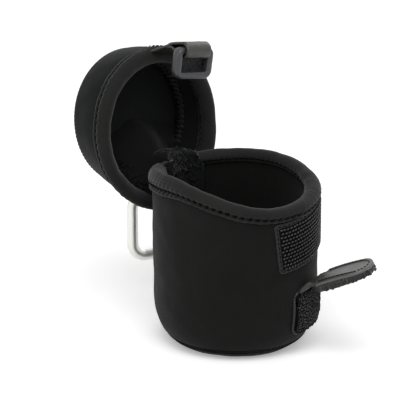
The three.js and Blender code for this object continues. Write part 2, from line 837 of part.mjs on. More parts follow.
// Closure parts on the pouch
const outerLift = seatGap + leatherThickness + seatGap;
group.add(piece('hook_patch_backing',
  bodyPatch(patchWidth, patchBottom, patchHeight, patchRound, seatGap, leatherThickness / 2), webbing));
group.add(piece('hook_patch',
  bodyPatch(patchWidth - 2 * patchRound, patchBottom + patchRound, patchHeight - 2 * patchRound, patchRound,
    2 * seatGap + leatherThickness / 2, tapeThickness / 2), hookTape));
group.add(piece('strap_root',
  bodyPatch(rootWidth, rootBottom, rootHeight, rootRound, seatGap, leatherThickness), leather));
group.add(piece('strap_root_tape',
  bodyPatch(rootWidth, rootBottom, rootHeight, rootRound, outerLift, tapeThickness), hookTape));
group.add(piece('strap_neck', strapNeck(), leather));
group.add(piece('strap_leather',
  strapLayer((leatherThickness + seatGap) / 2, leatherThickness), leather));
group.add(piece('strap_tape',
  strapLayer(-(tapeThickness + seatGap) / 2, tapeThickness), hookTape));

// The lid, turned open about the hinge axis
const lid = new THREE.Group();
lid.position.copy(hingeAxis);
lid.rotation.x = -lidOpenAngle;
const closedLid = new THREE.Group();
closedLid.position.copy(hingeAxis).negate();
lid.add(closedLid);
group.add(lid);
const front = [lidBackAngle, 2 * Math.PI - lidBackAngle, lidFrontSteps];
const back = [-lidBackAngle + splitAngle, lidBackAngle - splitAngle, lidBackSteps];
const wallSection = lidWallProfile();
const lipSection = bindingProfile(-1);
closedLid.add(piece('lid_wall', sweep(lidPoint, wallSection, ...front), neoprene));
closedLid.add(piece('lid_wall_back', sweep(lidPoint, wallSection, ...back), neoprene));
closedLid.add(piece('lid_top', lidTop(), neoprene));
closedLid.add(piece('lid_seam', lidSeam(), thread));
closedLid.add(piece('lid_binding', sweep(lidPoint, lipSection, ...front), bindingCloth));
closedLid.add(piece('lid_binding_back', sweep(lidPoint, lipSection, ...back), bindingCloth));
closedLid.add(piece('tab_root', tabRoot(), leather));

// The free tab, bent a little inwards at the lip, and the ring hanging plumb
const tab = new THREE.Group();
tab.position.copy(lidPoint(Math.PI - ringTurn, -tabLift - tabThickness / 2, 0));
tab.rotation.set(0, 0, ringTurn);
const bentTab = new THREE.Group();
bentTab.rotation.x = tabDroop;
bentTab.add(piece('ring_tab', ringTab(), leather));
tab.add(bentTab);
closedLid.add(tab);
const ringHolder = new THREE.Group();
ringHolder.position.set(0, tabBend, -tabReach);
const plumbTurn = lidOpenAngle - tabDroop;
ringHolder.rotation.x = plumbTurn;
ringHolder.add(piece('ring', ring(), ringFinish));
bentTab.add(ringHolder);

// The hanging loop under the open lid and the spring hook in it
const seamInset = lidCorner * (1 - Math.cos(lidSeamTurn));
const seamEdge = opened(lidPoint(hangTurn, seamInset, lidHeight - seamInset));
const hanger = new THREE.Group();
hanger.position.copy(seamEdge).add(new THREE.Vector3(0, seamProud, -seamProud - 4 * seatGap));
hanger.rotation.z = hookTurn;
hanger.add(piece('hang_loop', hangLoop(), webbing));
const hook = new THREE.Group();
const archSag = hookHalf - Math.sqrt(hookHalf ** 2 - (loopWidth / 2) ** 2);
hook.position.z = -loopDrop + archSag - hookHalf + seatGap / 2;
hook.add(piece('hook_body', hookBody(), aluminium));
hook.add(piece('hook_gate', hookGate(), aluminium));
hook.add(piece('gate_pin', pinCylinder(gatePinDiameter, rodDiameter), steel));
hanger.add(hook);
group.add(hanger);

export default group;
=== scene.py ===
"""Looks of a small padded pouch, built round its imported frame. Lengths are in metres."""

import math
import random

import bmesh
import bpy
from bpy.props import FloatProperty, FloatVectorProperty, PointerProperty
from mathutils import Matrix, Vector, noise


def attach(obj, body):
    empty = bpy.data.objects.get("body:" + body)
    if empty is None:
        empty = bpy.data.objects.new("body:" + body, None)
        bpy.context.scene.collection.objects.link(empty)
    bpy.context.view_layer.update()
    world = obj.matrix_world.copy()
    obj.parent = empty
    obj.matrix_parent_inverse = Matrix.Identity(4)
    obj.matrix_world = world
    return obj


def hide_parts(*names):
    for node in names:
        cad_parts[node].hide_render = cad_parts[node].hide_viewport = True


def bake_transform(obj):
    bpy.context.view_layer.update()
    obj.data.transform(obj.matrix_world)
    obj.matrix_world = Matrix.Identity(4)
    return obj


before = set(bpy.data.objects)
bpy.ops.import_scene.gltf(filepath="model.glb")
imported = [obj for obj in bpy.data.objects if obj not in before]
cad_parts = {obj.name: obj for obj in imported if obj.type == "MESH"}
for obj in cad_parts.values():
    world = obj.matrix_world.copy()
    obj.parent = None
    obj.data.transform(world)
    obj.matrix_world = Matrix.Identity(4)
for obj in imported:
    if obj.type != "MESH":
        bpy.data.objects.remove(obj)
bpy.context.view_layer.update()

bl_info = {
    "name": "Padded Pouch",
    "version": (1, 0, 0),
    "blender": (4, 5, 0),
    "location": "View3D > Sidebar > Pouch",
    "description": "Builds the sewn, moulded and metal pieces of a padded pouch and its stage",
    "category": "Object",
}

TAU = 2 * math.pi
UP = Vector((0, 0, 1))
ACROSS = Vector((1, 0, 0))
RIGHT_ANGLE = math.pi / 2

# Width of an overlocked seam, and how far the strap's stitches lie inside its edge.
SEAM_WIDTH = 0.0026
STRAP_INSET = 0.0022
# Rows of the profile under the base.
FLAT_ROWS = 8
# Sides and rings of the balls that threads are drawn out of.
STITCH_BALL = (8, 6)
LOOSE_BALL = (7, 6)
HOOK_BALL = (7, 5)
FIBRE_BALL = (5, 3)
# Rays that see the white background.
SHOWING_RAYS = ("Is Camera Ray", "Is Glossy Ray", "Is Transmission Ray")
BEVEL = {"profile": 0.5, "affect": "EDGES", "material": -1}


def length(name, default, description):
    return FloatProperty(name=name, default=default, description=description, unit="LENGTH", precision=5)


def angle(name, default, description):
    return FloatProperty(name=name, default=math.radians(default), description=description, subtype="ANGLE")


def share(name, default, description):
    return FloatProperty(name=name, default=default, description=description, subtype="FACTOR")


def colour(name, default, description):
    return FloatVectorProperty(name=name, default=default, description=description, subtype="COLOR", size=3)


class PouchSizes(bpy.types.PropertyGroup):
    radius: length("Radius", 0.0415, "Outer radius of the pouch near its base")
    height: length("Height", 0.0858, "Height of the pouch at the middle of its rim")
    wall: length("Wall", 0.0042, "Thickness of the padded wall")
    corner_reach: length("Corner reach", 0.0148, "How far the bottom corner reaches inwards")
    corner_rise: length("Corner rise", 0.024, "How far the bottom corner reaches up")
    mouth_oval: share("Mouth oval", 0.07, "How far the mouth is pulled oval")
    mouth_shift: length("Mouth shift", 0.0015, "How far the mouth leans towards the hinge")
    rim_saddle: length("Rim saddle", 0.0024, "Dip of the rim at the front and back")
    rim_slant: angle("Rim slant", 3.5, "Slant of the rim up towards the hinge")
    seam_turn: angle("Base seam", 36, "Where the base seam lies on the bottom corner")
    side_rise: length("Side rise", 0.002, "How far the rim rises at one side")
    side_turn: angle("Side turn", 285, "Where the rim rises most")
    side_spread: angle("Side spread", 30, "How far the rise spreads round the rim")
    front_dip: length("Front dip", 0.0017, "How far the rim dips beside the patch")
    dip_turn: angle("Dip turn", 206, "Where the rim dips most")
    dip_spread: angle("Dip spread", 24, "How far the dip spreads round the rim")
    gap: length("Seat gap", 0.0003, "Gap between sewn layers")
    softness: length("Softness", 0.00045, "Height of the soft waves in the wall")


class BindingSizes(bpy.types.PropertyGroup):
    thickness: length("Thickness", 0.001, "Thickness of the binding tape")
    drop: length("Drop", 0.0058, "How far the tape covers the pouch's wall")
    lid_drop: length("Lid drop", 0.0065, "How far the tape covers the lid's wall")
    crown: length("Crown", 0.0036, "Height of the rounded rim")
    fullness: length("Fullness", 0.0014, "How far the rim's roll swells inwards")
    proud: length("Proud", 0.0007, "How far the rim's roll swells up")
    outer_fullness: length("Outer fullness", 0.0006, "How far the rim's roll swells outwards")
    widening: share("Widening", 0.15, "How much wider the tape is along the side of the mouth")
    end_widening: share("End widening", 0.4, "How much wider it is again at the end by the hinge")
    gap_half: length("Half gap", 0.0156, "Half of the gap in the binding at the hinge")
    gap_tuck: length("Tucked gap", 0.0098, "Half of the gap on the side where the tape is under the hinge")
    stitch_rise: length("Stitch rise", 0.0017, "Height of the stitch line above the tape's edge")
    pitch: length("Stitch pitch", 0.0036, "Distance from one stitch to the next")
    stitch: length("Stitch length", 0.0026, "Length of the thread that shows in one stitch")
    thread: length("Thread", 0.00055, "Thickness of the sewing thread")
    rim_thread: length("Rim thread", 0.0015, "Thickness of the twisted thread round the rims")
    pucker: length("Pucker", 0.00115, "Depth of the puckers at the stitches")


class LidSizes(bpy.types.PropertyGroup):
    radius: length("Rim radius", 0.0407, "Outer radius of the lid at its rim")
    height: length("Height", 0.026, "Depth of the lid")
    top_radius: length("Top radius", 0.0362, "Outer radius of the lid's flat top")
    top_forward: length("Top forward", 0.0093, "How far the top is set towards the front")
    top_oval: share("Top oval", -0.04, "How far the top is pulled oval")
    forward: length("Rim forward", 0.004, "How far the closed rim is set towards the front")
    saddle: length("Rim saddle", 0.0012, "Dip of the lid's rim")
    lip_gap: length("Lip gap", 0.0016, "Gap between the closed rims")
    corner: length("Corner", 0.004, "Radius of the edge round the top")
    bulge: length("Bulge", 0.0006, "Bulge of the lid's wall")
    fullness: length("Fullness", 0.0024, "How far one side of the rim is drawn out")
    full_turn: angle("Full turn", 133, "Where the rim is drawn out")
    side_drop: length("Side drop", 0.0016, "How much deeper the lid is at one side")
    drop_turn: angle("Drop turn", 264, "Where the lid is deepest")
    open_angle: angle("Open angle", 103.8, "Angle at which the lid rests open")
    axis_inset: length("Axis inset", 0.0157, "How far the hinge axis lies inside the back of the rim")
    axis_drop: length("Axis drop", 0.015, "How far the hinge axis lies below the rim")
    strip_width: length("Strip width", 0.028, "Width of the hinge strip")
    strip_thickness: length("Strip thickness", 0.003, "Thickness of the hinge strip")
    strip_tail: length("Strip tail", 0.018, "Length of the strip inside the pouch")
    strip_hump: length("Strip hump", 0.0036, "Height of the strip's hump over the rim")
    strip_waist: share("Strip waist", 0.34, "How much narrower the strip is over the rim, on one side")
    strip_tuck: share("Strip tuck", 0.42, "How much narrower the strip is over the rim, on the other side")
    gusset_start: angle("Gusset start", 21, "Where the sides of the funnel start at the lid's rim")
    gusset_end: angle("Gusset end", 78, "Where the sides of the funnel end at the lid's top")
    strip_hidden: share("Strip hidden", 0.7, "How much narrower the strip is under the funnel")
    strip_droop: length("Strip droop", 0.004, "How far the strip's sides hang down over the rim")
    strip_run: length("Strip seam run", 0.007, "Length of the strip that is sewn to the lid")
    strip_inset: length("Strip end inset", 0.002, "Gap from the strip's end to the lid's wall")
    strip_approach: length("Strip approach", 0.0055, "Where the strip starts to bend towards the lid")


class ClosureSizes(bpy.types.PropertyGroup):
    turn: angle("Turn", 14, "How far the closure sits to one side of the front")
    patch_width: length("Patch width", 0.0452, "Width of the hook patch")
    patch_height: length("Patch height", 0.0282, "Height of the hook patch")
    patch_drop: length("Patch drop", 0.005, "Drop of the hook patch below the rim")
    patch_border: length("Patch border", 0.0018, "Width of the plain edge of the hook patch")
    patch_tilt: angle("Patch tilt", 6, "How far the patch is tilted along the rim")
    row_pitch: length("Row pitch", 0.0021, "Distance between rows of hooks")
    hook_pitch: length("Hook pitch", 0.0018, "Distance between hooks in a row")
    root_width: length("Root width", 0.0255, "Width of the strap's sewn root")
    root_height: length("Root height", 0.026, "Height of the strap's sewn root")
    root_bottom: length("Root bottom", 0.012, "Height of the root's lower edge")
    root_round: length("Root corner", 0.005, "Corner radius of the root")
    strap_width: length("Strap width", 0.018, "Width of the strap")
    strap_reach: length("Strap reach", 0.027, "How far the strap reaches out")
    strap_lift: length("Strap lift", 0.0115, "How far the strap's tip is raised")
    strap_roll: angle("Strap roll", 9, "How far the strap is rolled about its length")
    strap_bow: length("Strap bow", 0.0016, "Bow of the strap along its length")
    strap_point: length("Strap point", 0.009, "Length of the strap's round tip")
    neck_length: length("Neck length", 0.0064, "Length of the strap's neck")
    neck_lift: length("Neck lift", 0.0024, "Rise of the strap's neck")
    neck_thickness: length("Neck thickness", 0.0026, "Thickness of the strap's neck")
    leather: length("Leather", 0.0016, "Thickness of the leather")
    root_leather: length("Root leather", 0.001, "Thickness of the root's leather, pressed into the wall")
    root_pile: length("Root pile", 0.0008, "Thickness of the root's pile")
    tape: length("Tape", 0.0022, "Thickness of the pile tape")


class RingSizes(bpy.types.PropertyGroup):
    turn: angle("Turn", 10, "How far the ring sits to one side of the front")
    opening_width: length("Opening width", 0.0174, "Inner width of the ring")
    opening_height: length("Opening height", 0.0089, "Inner height of the ring")
    bar: length("Bar", 0.0038, "Thickness of the ring's bar")
    depth: length("Depth", 0.005, "Depth of the ring's bar")
    corner: length("Corner", 0.0025, "Corner radius of the ring's middle line")
    wrap: share("Wrap", 0.53, "Room for the ring's bar in the fold")
    tab_width: length("Tab width", 0.0162, "Width of the leather tab")
    tab_reach: length("Tab reach", 0.0232, "Length of the tab's free part")
    tab_thickness: length("Tab thickness", 0.0015, "Thickness of the tab")
    tab_sink: length("Tab sink", 0.0022, "How far the tab's sewn part is pressed into the lid")
    tab_fold_back: length("Tab fold back", 0.011, "Length of the tab's folded end")
    tab_droop: angle("Tab droop", 0.5, "How far the free part bends inwards")
    tab_bend_gap: length("Tab bend gap", 0.0005, "Length over which the tab bends")


class HookSizes(bpy.types.PropertyGroup):
    hang_turn: angle("Hang turn", 20.5, "Where the loop is sewn to the edge of the lid")
    turn: angle("Turn", -20, "How far the hook is turned about a plumb line")
    loop_width: length("Loop width", 0.009, "Width of the webbing loop")
    loop_thickness: length("Loop thickness", 0.0014, "Thickness of the webbing")
    loop_drop: length("Loop drop", 0.0094, "Drop of the loop's fold")
    rod: length("Rod", 0.006, "Thickness of the hook's rod")
    width: length("Width", 0.0264, "Outer width of the hook")
    height: length("Height", 0.0426, "Outer height of the hook")
    foot_round: length("Foot corner", 0.0075, "Corner radius at the foot of the hook")
    gate_top: length("Gate top", -0.0014, "Height of the gate's free end")
    gate_length: length("Gate length", 0.0132, "Length of the gate above its pin")
    gate_heel: length("Gate heel", 0.002, "Length of the gate below its pin")
    nose_gap: length("Nose gap", 0.0005, "Gap between the gate and the nose")
    seam_proud: length("Seam proud", 0.0009, "Height of the overlocked seam")


class FinishColours(bpy.types.PropertyGroup):
    jersey: colour("Jersey", (0.0078, 0.0078, 0.0075), "Knitted face of the padded cloth")
    lining: colour("Lining", (0.0052, 0.0052, 0.0052), "Inner face of the padded cloth")
    lid: colour("Lid jersey", (0.007, 0.0075, 0.0078), "Knitted face of the lid")
    binding: colour("Binding", (0.0158, 0.0158, 0.0154), "Tape over the rims")
    # The thread is dark, and is painted darker still, about a quarter of the cloth, as painted shade for the
    # shadowed stitch holes.
    thread: colour("Thread", (0.002, 0.002, 0.002), "Sewing thread")
    loose: colour("Loose thread", (0.0074, 0.0074, 0.0074), "Looped thread of the overlocked ends")
    tape: colour("Tape", (0.002, 0.002, 0.002), "Ground of the hook and pile tape")
    hooks: colour("Hooks", (0.021, 0.021, 0.021), "Small stiff hooks")
    pile: colour("Pile", (0.032, 0.032, 0.032), "Soft pile")
    leather: colour("Leather", (0.016, 0.016, 0.0145), "Edge and root of the strap")
    # The strap's face is the same leather as its edge and root, painted about four times lighter: a painted
    # highlight for the lamps' glare on its top face.
    face: colour("Leather face", (0.068, 0.068, 0.0645), "Face of the strap, painted lighter for its highlight")
    tab: colour("Tab leather", (0.024, 0.024, 0.019), "Leather tab on the lid")
    ring: colour("Ring", (0.031, 0.032, 0.036), "Moulded ring")
    metal: colour("Metal", (0.80, 0.80, 0.765), "Spring hook")
    floor: colour("Floor", (0.98, 0.98, 0.98), "Floor and backdrop")


class StageSettings(bpy.types.PropertyGroup):
    azimuth: angle("Azimuth", -46, "Direction that the camera looks from")
    elevation: angle("Elevation", 19.5, "Height of the camera above the horizon")
    distance: length("Distance", 1.4, "Distance of the camera from the pouch")
    aim_height: length("Aim height", 0.045, "Height of the point that the distance is measured to")
    lens: FloatProperty(name="Lens", default=248.2, description="Focal length of the camera", unit="CAMERA")
    sensor: FloatProperty(name="Sensor", default=36, description="Width of the sensor", unit="CAMERA")
    offset_x: share("Offset across", -0.091, "How far the frame's middle is left of the aim, in frame widths")
    offset_y: share("Offset up", 0.1325, "How far the frame's middle is above the aim, in frame widths")
    world: FloatProperty(name="World", default=0.5, description="Strength of the even light")
    key: FloatProperty(name="Key", default=10.0, description="Power of the large lamp above", unit="POWER")
    side: FloatProperty(name="Side", default=1.5, description="Power of the lamps at the sides", unit="POWER")
    glow: share("Glow", 0.3, "Light that the floor adds in the camera's view")
    floor_size: length("Floor size", 8.0, "Width of the floor")


# Shaping -------------------------------------------------------------------------------


def mix(low, high, part):
    """A value between two others."""
    return low + (high - low) * part


def eased(part):
    """Goes from 0 to 1 without a corner at either end."""
    held = min(max(part, 0.0), 1.0)
    return held * held * (3 - 2 * held)


def hump(value, middle, spread):
    """One at the middle, and falling off smoothly to both sides of it."""
    return math.exp(-(((value - middle) / spread) ** 2))


def ripple(x, y, z, scale):
    """Smooth noise from about -1 to 1."""
    return noise.noise(Vector((x, y, z)) * scale)


def swell(turn, middle, spread):
    """One at a turn, and falling off smoothly to both sides of it."""
    away = (turn - middle + math.pi) % TAU - math.pi
    return math.exp(-((away / spread) ** 2))


def pouch_place(scene):
    """Gives a function from a turn, a radius and a level to a point of the pouch."""
    p = scene.pouch_sizes
    radius, height, oval = p.radius, p.height, p.mouth_oval
    shift, saddle, slant = p.mouth_shift, p.rim_saddle, math.tan(p.rim_slant)

    def place(turn, reach, level):
        part = eased(level / height)
        drawn = reach + radius * oval * part * math.cos(2 * turn) * min(reach / radius, 1)
        y = drawn * math.cos(turn) + shift * part
        rise = part * (y * slant - saddle * math.cos(2 * turn))
        rise += part * part * p.side_rise * swell(turn, p.side_turn, p.side_spread)
        rise -= part * part * p.front_dip * swell(turn, p.dip_turn, p.dip_spread)
        return Vector((drawn * math.sin(turn), y, level + rise))

    return place


def hinge_axis(scene):
    """A point on the line that the lid turns about."""
    p, l = scene.pouch_sizes, scene.lid_sizes
    y = p.radius * (1 + p.mouth_oval) + p.mouth_shift - l.axis_inset
    return Vector((0, y, p.height - l.axis_drop))


def lid_reach(scene, level):
    """Outer radius of the lid's wall at a level."""
    l = scene.lid_sizes
    return mix(l.radius, l.top_radius, level / l.height)


def lid_place(scene):
    """Gives a function from a turn, a radius and a level to a point of the open lid."""
    p, l = scene.pouch_sizes, scene.lid_sizes
    slant, base = math.tan(p.rim_slant), p.height + l.lip_gap
    height, oval, saddle = l.height, l.top_oval, l.saddle
    middle, forward = p.mouth_shift - l.forward, l.top_forward
    axis = hinge_axis(scene)
    opened = Matrix.Rotation(-l.open_angle, 3, "X")
    full_spread, drop_spread = math.radians(32), math.radians(50)

    def place(turn, reach, level):
        part = level / height
        drawn = reach * (1 + oval * part * math.cos(2 * turn))
        drawn += l.fullness * (1 - part) * swell(turn, l.full_turn, full_spread) * eased(reach / l.radius)
        y = drawn * math.cos(turn) + middle - forward * part
        z = base + level + y * slant - (1 - eased(part)) * saddle * math.cos(2 * turn)
        z -= (1 - part) * l.side_drop * swell(turn, l.drop_turn, drop_spread)
        return opened @ (Vector((drawn * math.sin(turn), y, z)) - axis) + axis

    return place


def corner_point(scene, theta, depth):
    """A point of the bottom corner: no theta under the base, a right angle at the wall."""
    p = scene.pouch_sizes
    normal = Vector((p.corner_rise * math.sin(theta), -p.corner_reach * math.cos(theta))).normalized()
    radius = p.radius - p.corner_reach * (1 - math.sin(theta))
    level = p.corner_rise * (1 - math.cos(theta))
    return (radius - depth * normal.x, level - depth * normal.y)


def line(start, end, steps):
    """Evenly spaced points of a line."""
    return [tuple(mix(a, b, step / steps) for a, b in zip(start, end)) for step in range(steps + 1)]


def arch(half_width, rise, steps):
    """Half an ellipse over a width, from left to right."""
    turns = [math.pi * step / steps for step in range(steps + 1)]
    return [(-half_width * math.cos(turn), rise * math.sin(turn)) for turn in turns]


def outward(bm):
    """Turns every face of a closed piece to the outside."""
    bmesh.ops.recalc_face_normals(bm, faces=bm.faces)
    if bm.calc_volume(signed=True) < 0:
        bmesh.ops.reverse_faces(bm, faces=bm.faces)


def runs_of(profile):
    """How far along a profile each of its points lies."""
    runs = [0.0]
    for a, b in zip(profile, profile[1:]):
        runs.append(runs[-1] + math.dist(a, b))
    return runs


def spun(profile, place, start=0.0, stop=TAU, steps=96, loop=False, relief=None):
    """Spins a profile of radii and levels, places it on the soft form and gives it a UV map in metres."""
    bm = bmesh.new()
    turn_layer = bm.verts.layers.float.new("turn")
    run_layer = bm.verts.layers.float.new("run")
    reach_layer = bm.verts.layers.float.new("reach")
    verts = [bm.verts.new((radius, 0, level)) for radius, level in profile]
    for vert, run in zip(verts, runs_of(profile)):
        vert[run_layer] = run
    edges = [bm.edges.new(pair) for pair in zip(verts, verts[1:])]
    if loop:
        edges.append(bm.edges.new((verts[-1], verts[0])))
    slack, flat_reach, girth = 0.001, 0.034, 0.04
    whole = stop - start > TAU - slack
    bmesh.ops.spin(bm, geom=verts + edges, cent=(0, 0, 0), axis=(0, 0, 1), angle=stop - start,
                   steps=steps, use_merge=whole)
    if loop and not whole:
        bmesh.ops.holes_fill(bm, edges=[e for e in bm.edges if e.is_boundary], sides=0)
    bmesh.ops.remove_doubles(bm, verts=bm.verts, dist=1e-6)
    for vert in bm.verts:
        spun_turn = math.atan2(vert.co.y, vert.co.x) % TAU
        if spun_turn > stop - start + slack:
            spun_turn -= TAU
        vert[turn_layer] = start + spun_turn
        vert[reach_layer] = math.hypot(vert.co.x, vert.co.y)
        vert.co = place(start + spun_turn, vert[reach_layer], vert.co.z)
    outward(bm)
    if relief:
        bm.normal_update()
        moves = [vert.normal * relief(vert[turn_layer], vert[run_layer]) for vert in bm.verts]
        for vert, move in zip(bm.verts, moves):
            vert.co += move
    uv_layer = bm.loops.layers.uv.new("cloth")
    for face in bm.faces:
        turns = [corner.vert[turn_layer] for corner in face.loops]
        reaches = [corner.vert[reach_layer] for corner in face.loops]
        runs = [corner.vert[run_layer] for corner in face.loops]
        wraps = max(turns) - min(turns) > math.pi
        flat = max(reaches) - min(reaches) > 0.9 * (max(runs) - min(runs)) and max(reaches) < flat_reach
        for corner, turn, reach, run in zip(face.loops, turns, reaches, runs):
            along = turn + TAU if wraps and turn < math.pi else turn
            spot = (reach * math.sin(turn), reach * math.cos(turn)) if flat else (along * girth, run)
            corner[uv_layer].uv = spot
    return bm


def sheet_grid(columns, rows, point, relief=None):
    """A grid whose column and row shares are placed by point, with a UV map in metres."""
    bm = bmesh.new()
    bmesh.ops.create_grid(bm, x_segments=columns, y_segments=rows, size=0.5)
    uv_layer = bm.loops.layers.uv.new("cloth")
    shares = {vert: (vert.co.x + 0.5, vert.co.y + 0.5) for vert in bm.verts}
    middle = point(0.5, 0.5)
    width = (point(1, 0.5) - middle).length + (point(0, 0.5) - middle).length
    height = (point(0.5, 1) - middle).length + (point(0.5, 0) - middle).length
    for face in bm.faces:
        for corner in face.loops:
            u, v = shares[corner.vert]
            corner[uv_layer].uv = (u * width, v * height)
    for vert, (u, v) in shares.items():
        vert.co = point(u, v)
    if relief:
        bm.normal_update()
        moves = [(vert, vert.normal * relief(*shares[vert])) for vert in shares]
        for vert, move in moves:
            vert.co += move
    return bm


def thickened(bm, thickness, facing=None, seat=0.5):
    """Gives a sheet its thickness: seat is the share that lies on the side it faces."""
    bmesh.ops.recalc_face_normals(bm, faces=bm.faces)
    if facing and sum(face.normal.dot(facing) for face in bm.faces) < 0:
        bmesh.ops.reverse_faces(bm, faces=bm.faces)
    bm.normal_update()
    moves = [vert.normal * thickness * seat for vert in bm.verts]
    for vert, move in zip(bm.verts, moves):
        vert.co += move
    bmesh.ops.solidify(bm, geom=bm.faces[:], thickness=thickness)
    return bm


def toward(along, lift):
    """A matrix that turns X along a direction and Z towards a lift."""
    x = along.normalized()
    y = lift.cross(x).normalized()
    return Matrix((x, y, x.cross(y))).transposed().to_4x4()


def thread_ball(sides, rings):
    """A small ball to draw threads out of, kept as a mesh."""
    name = f"thread_ball_{sides}_{rings}"
    if name not in bpy.data.meshes:
        bm = bmesh.new()
        turned = Matrix.Rotation(math.pi / 2, 4, "Y")
        bmesh.ops.create_uvsphere(bm, u_segments=sides, v_segments=rings, radius=1, matrix=turned)
        bm.to_mesh(bpy.data.meshes.new(name))
        bm.free()
    return bpy.data.meshes[name].copy()


def add_thread(bm, point, along, lift, size, thread, sides=6, rings=4):
    """One short thread: a ball drawn out along its run."""
    ball = thread_ball(sides, rings)
    scale = Matrix.Diagonal((size / 2, thread / 2, thread / 2, 1))
    ball.transform(Matrix.Translation(point) @ toward(along, lift) @ scale)
    bm.from_mesh(ball)
    bpy.data.meshes.remove(ball)


def finished(name, bm, key, bodies, replaces=(), merge=True):
    """Makes an object of a bmesh, with its finish, hangs it on its body when it has just one, and hides the
    parts it replaces.
    """
    if merge:
        bmesh.ops.remove_doubles(bm, verts=bm.verts, dist=1e-7)
    outward(bm)
    for face in bm.faces:
        face.smooth = True
    mesh = bpy.data.meshes.new(name)
    bm.to_mesh(mesh)
    bm.free()
    mesh.materials.append(finish_for(key))
    piece = bpy.data.objects.new(name, mesh)
    bpy.context.scene.collection.objects.link(piece)
    if len(bodies) == 1:
        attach(piece, bodies[0])
    else:
        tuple(bodies[2])
        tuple(bodies[3])
        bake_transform(piece)
    if replaces:
        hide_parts(*replaces)
    return piece


def around(place, reach, level, start, stop, count):
    """Evenly spaced places round a ring, each with the outward direction there."""
    points, outs = [], []
    for index in range(count):
        turn = mix(start, stop, (index + 0.5) / count)
        point = place(turn, reach, level)
        points.append(point)
        outs.append((point - place(turn, reach * 0.9, level)).normalized())
    return points, outs


def overlock(bm, rows, width, thread):
    """Threads that wrap an edge: a slanted thread across at each place, and a chain on each side."""
    wrap, slant, chain, chain_thread = 1.15, 0.35, 1.05, 0.9
    points, sides, lifts = rows
    for index, (point, side, lift) in enumerate(zip(points, sides, lifts)):
        after = points[(index + 1) % len(points)]
        step = after - point if (after - point).length < width * 4 else point - points[index - 1]
        add_thread(bm, point + lift * thread * 0.2, side * width + step * slant, lift, width * wrap, thread)
        for end in (-0.5, 0.5):
            spot = point + side * width * end * 0.95 + step * 0.5 + lift * thread * 0.1
            along = step + side * width * end * 0.3
            add_thread(bm, spot, along, lift, step.length * chain, thread * chain_thread)


# Materials -----------------------------------------------------------------------------


class Value:
    """A socket that takes part in sums, which add Math nodes."""

    def __init__(self, finish, socket):
        self.finish = finish
        self.socket = socket

    def sum_of(self, operation, first, second=None):
        values = {0: first} if second is None else {0: first, 1: second}
        return self.finish.node("ShaderNodeMath", {"operation": operation}, values)

    def __add__(self, other):
        return self.sum_of("ADD", self, other)

    __radd__ = __add__

    def __sub__(self, other):
        return self.sum_of("SUBTRACT", self, other)

    def __rsub__(self, other):
        return self.sum_of("SUBTRACT", other, self)

    def __mul__(self, other):
        return self.sum_of("MULTIPLY", self, other)

    __rmul__ = __mul__

    def sine(self):
        return self.sum_of("SINE", self)


class Finish:
    """A material under construction, with its Principled shader."""

    def __init__(self, name):
        self.material = bpy.data.materials.new(name)
        self.material.use_nodes = True
        self.tree = self.material.node_tree
        self.shader = self.tree.nodes["Principled BSDF"]

    def node(self, kind, settings=None, inputs=None, output=0):
        made = self.tree.nodes.new(kind)
        for key, value in (settings or {}).items():
            if key == "stops":
                ramp = made.color_ramp.elements
                while len(ramp) < len(value):
                    ramp.new(1.0)
                for element, (position, shade) in zip(ramp, value):
                    element.position = position
                    element.color = (shade, shade, shade, 1)
            else:
                setattr(made, key, value)
        for key, value in (inputs or {}).items():
            self.feed(made.inputs[key], value)
        return Value(self, made.outputs[output])

    def feed(self, socket, value):
        if isinstance(value, Value):
            self.tree.links.new(value.socket, socket)
        else:
            socket.default_value = value

    def set(self, **values):
        for key, value in values.items():
            self.feed(self.shader.inputs[key.replace("_", " ")], value)
        return self.material

    def place(self):
        return self.node("ShaderNodeTexCoord", output="Object")

    def cloth(self):
        uv = self.node("ShaderNodeUVMap", {"uv_map": "cloth"})
        return [self.node("ShaderNodeSeparateXYZ", None, {0: uv}, axis) for axis in range(2)]

    def noise(self, scale, detail=3.0, rough=0.55):
        values = {"Vector": self.place(), "Scale": scale, "Detail": detail, "Roughness": rough}
        return self.node("ShaderNodeTexNoise", None, values)

    def cells(self, scale, feature="F1"):
        values = {"Vector": self.place(), "Scale": scale}
        return self.node("ShaderNodeTexVoronoi", {"feature": feature}, values)

    def tinted(self, shade, amount, spread):
        """The colour made lighter and darker by a value from 0 to 1."""
        dark = tuple(c * (1 - spread) for c in shade) + (1,)
        pale = tuple(c * (1 + spread) for c in shade) + (1,)
        return self.node("ShaderNodeMix", {"data_type": "RGBA"}, {0: amount, 6: dark, 7: pale}, 2)

    def bump(self, height, strength, distance):
        values = {"Height": height, "Strength": strength, "Distance": distance}
        return self.node("ShaderNodeBump", None, values)


def constant(finish, **values):
    """Sets inputs that are the same all over a surface."""
    for key, value in values.items():
        finish.shader.inputs[key.replace("_", " ")].default_value = value


def jersey(name, shade, wale=0.0009, course=0.0007, depth=0.00012, sheen=0.11):
    """Fine knitted cloth: rows of small loops, with a soft pile and a slightly mottled colour."""
    finish = Finish(name)
    u, v = finish.cloth()
    rib = (u * (TAU / wale)).sine()
    loop = (v * (TAU / course) + rib * 1.3).sine()
    knit = rib * 0.5 + loop * 0.5
    mottle = finish.noise(900.0)
    broad = finish.noise(45.0, 2.0)
    tone = mottle * 0.45 + broad * 0.35 + knit * 0.1 + 0.1
    constant(finish, Sheen_Weight=sheen, Sheen_Roughness=0.4, Specular_IOR_Level=0.08)
    spread, smoothest = 0.75, 0.72
    return finish.set(
        Base_Color=finish.tinted(shade, tone, spread),
        Roughness=mottle * 0.2 + smoothest,
        Normal=finish.bump(knit + mottle * 1.4, 0.55, depth),
    )


def threaded(name, shade, gloss=0.05):
    """Twisted sewing thread."""
    finish = Finish(name)
    fibre = finish.noise(2600.0, 2.0)
    constant(finish, Specular_IOR_Level=gloss)
    return finish.set(
        Base_Color=finish.tinted(shade, fibre, 0.5),
        Roughness=fibre * 0.25 + 0.5,
        Normal=finish.bump(fibre, 0.5, 0.0001),
    )


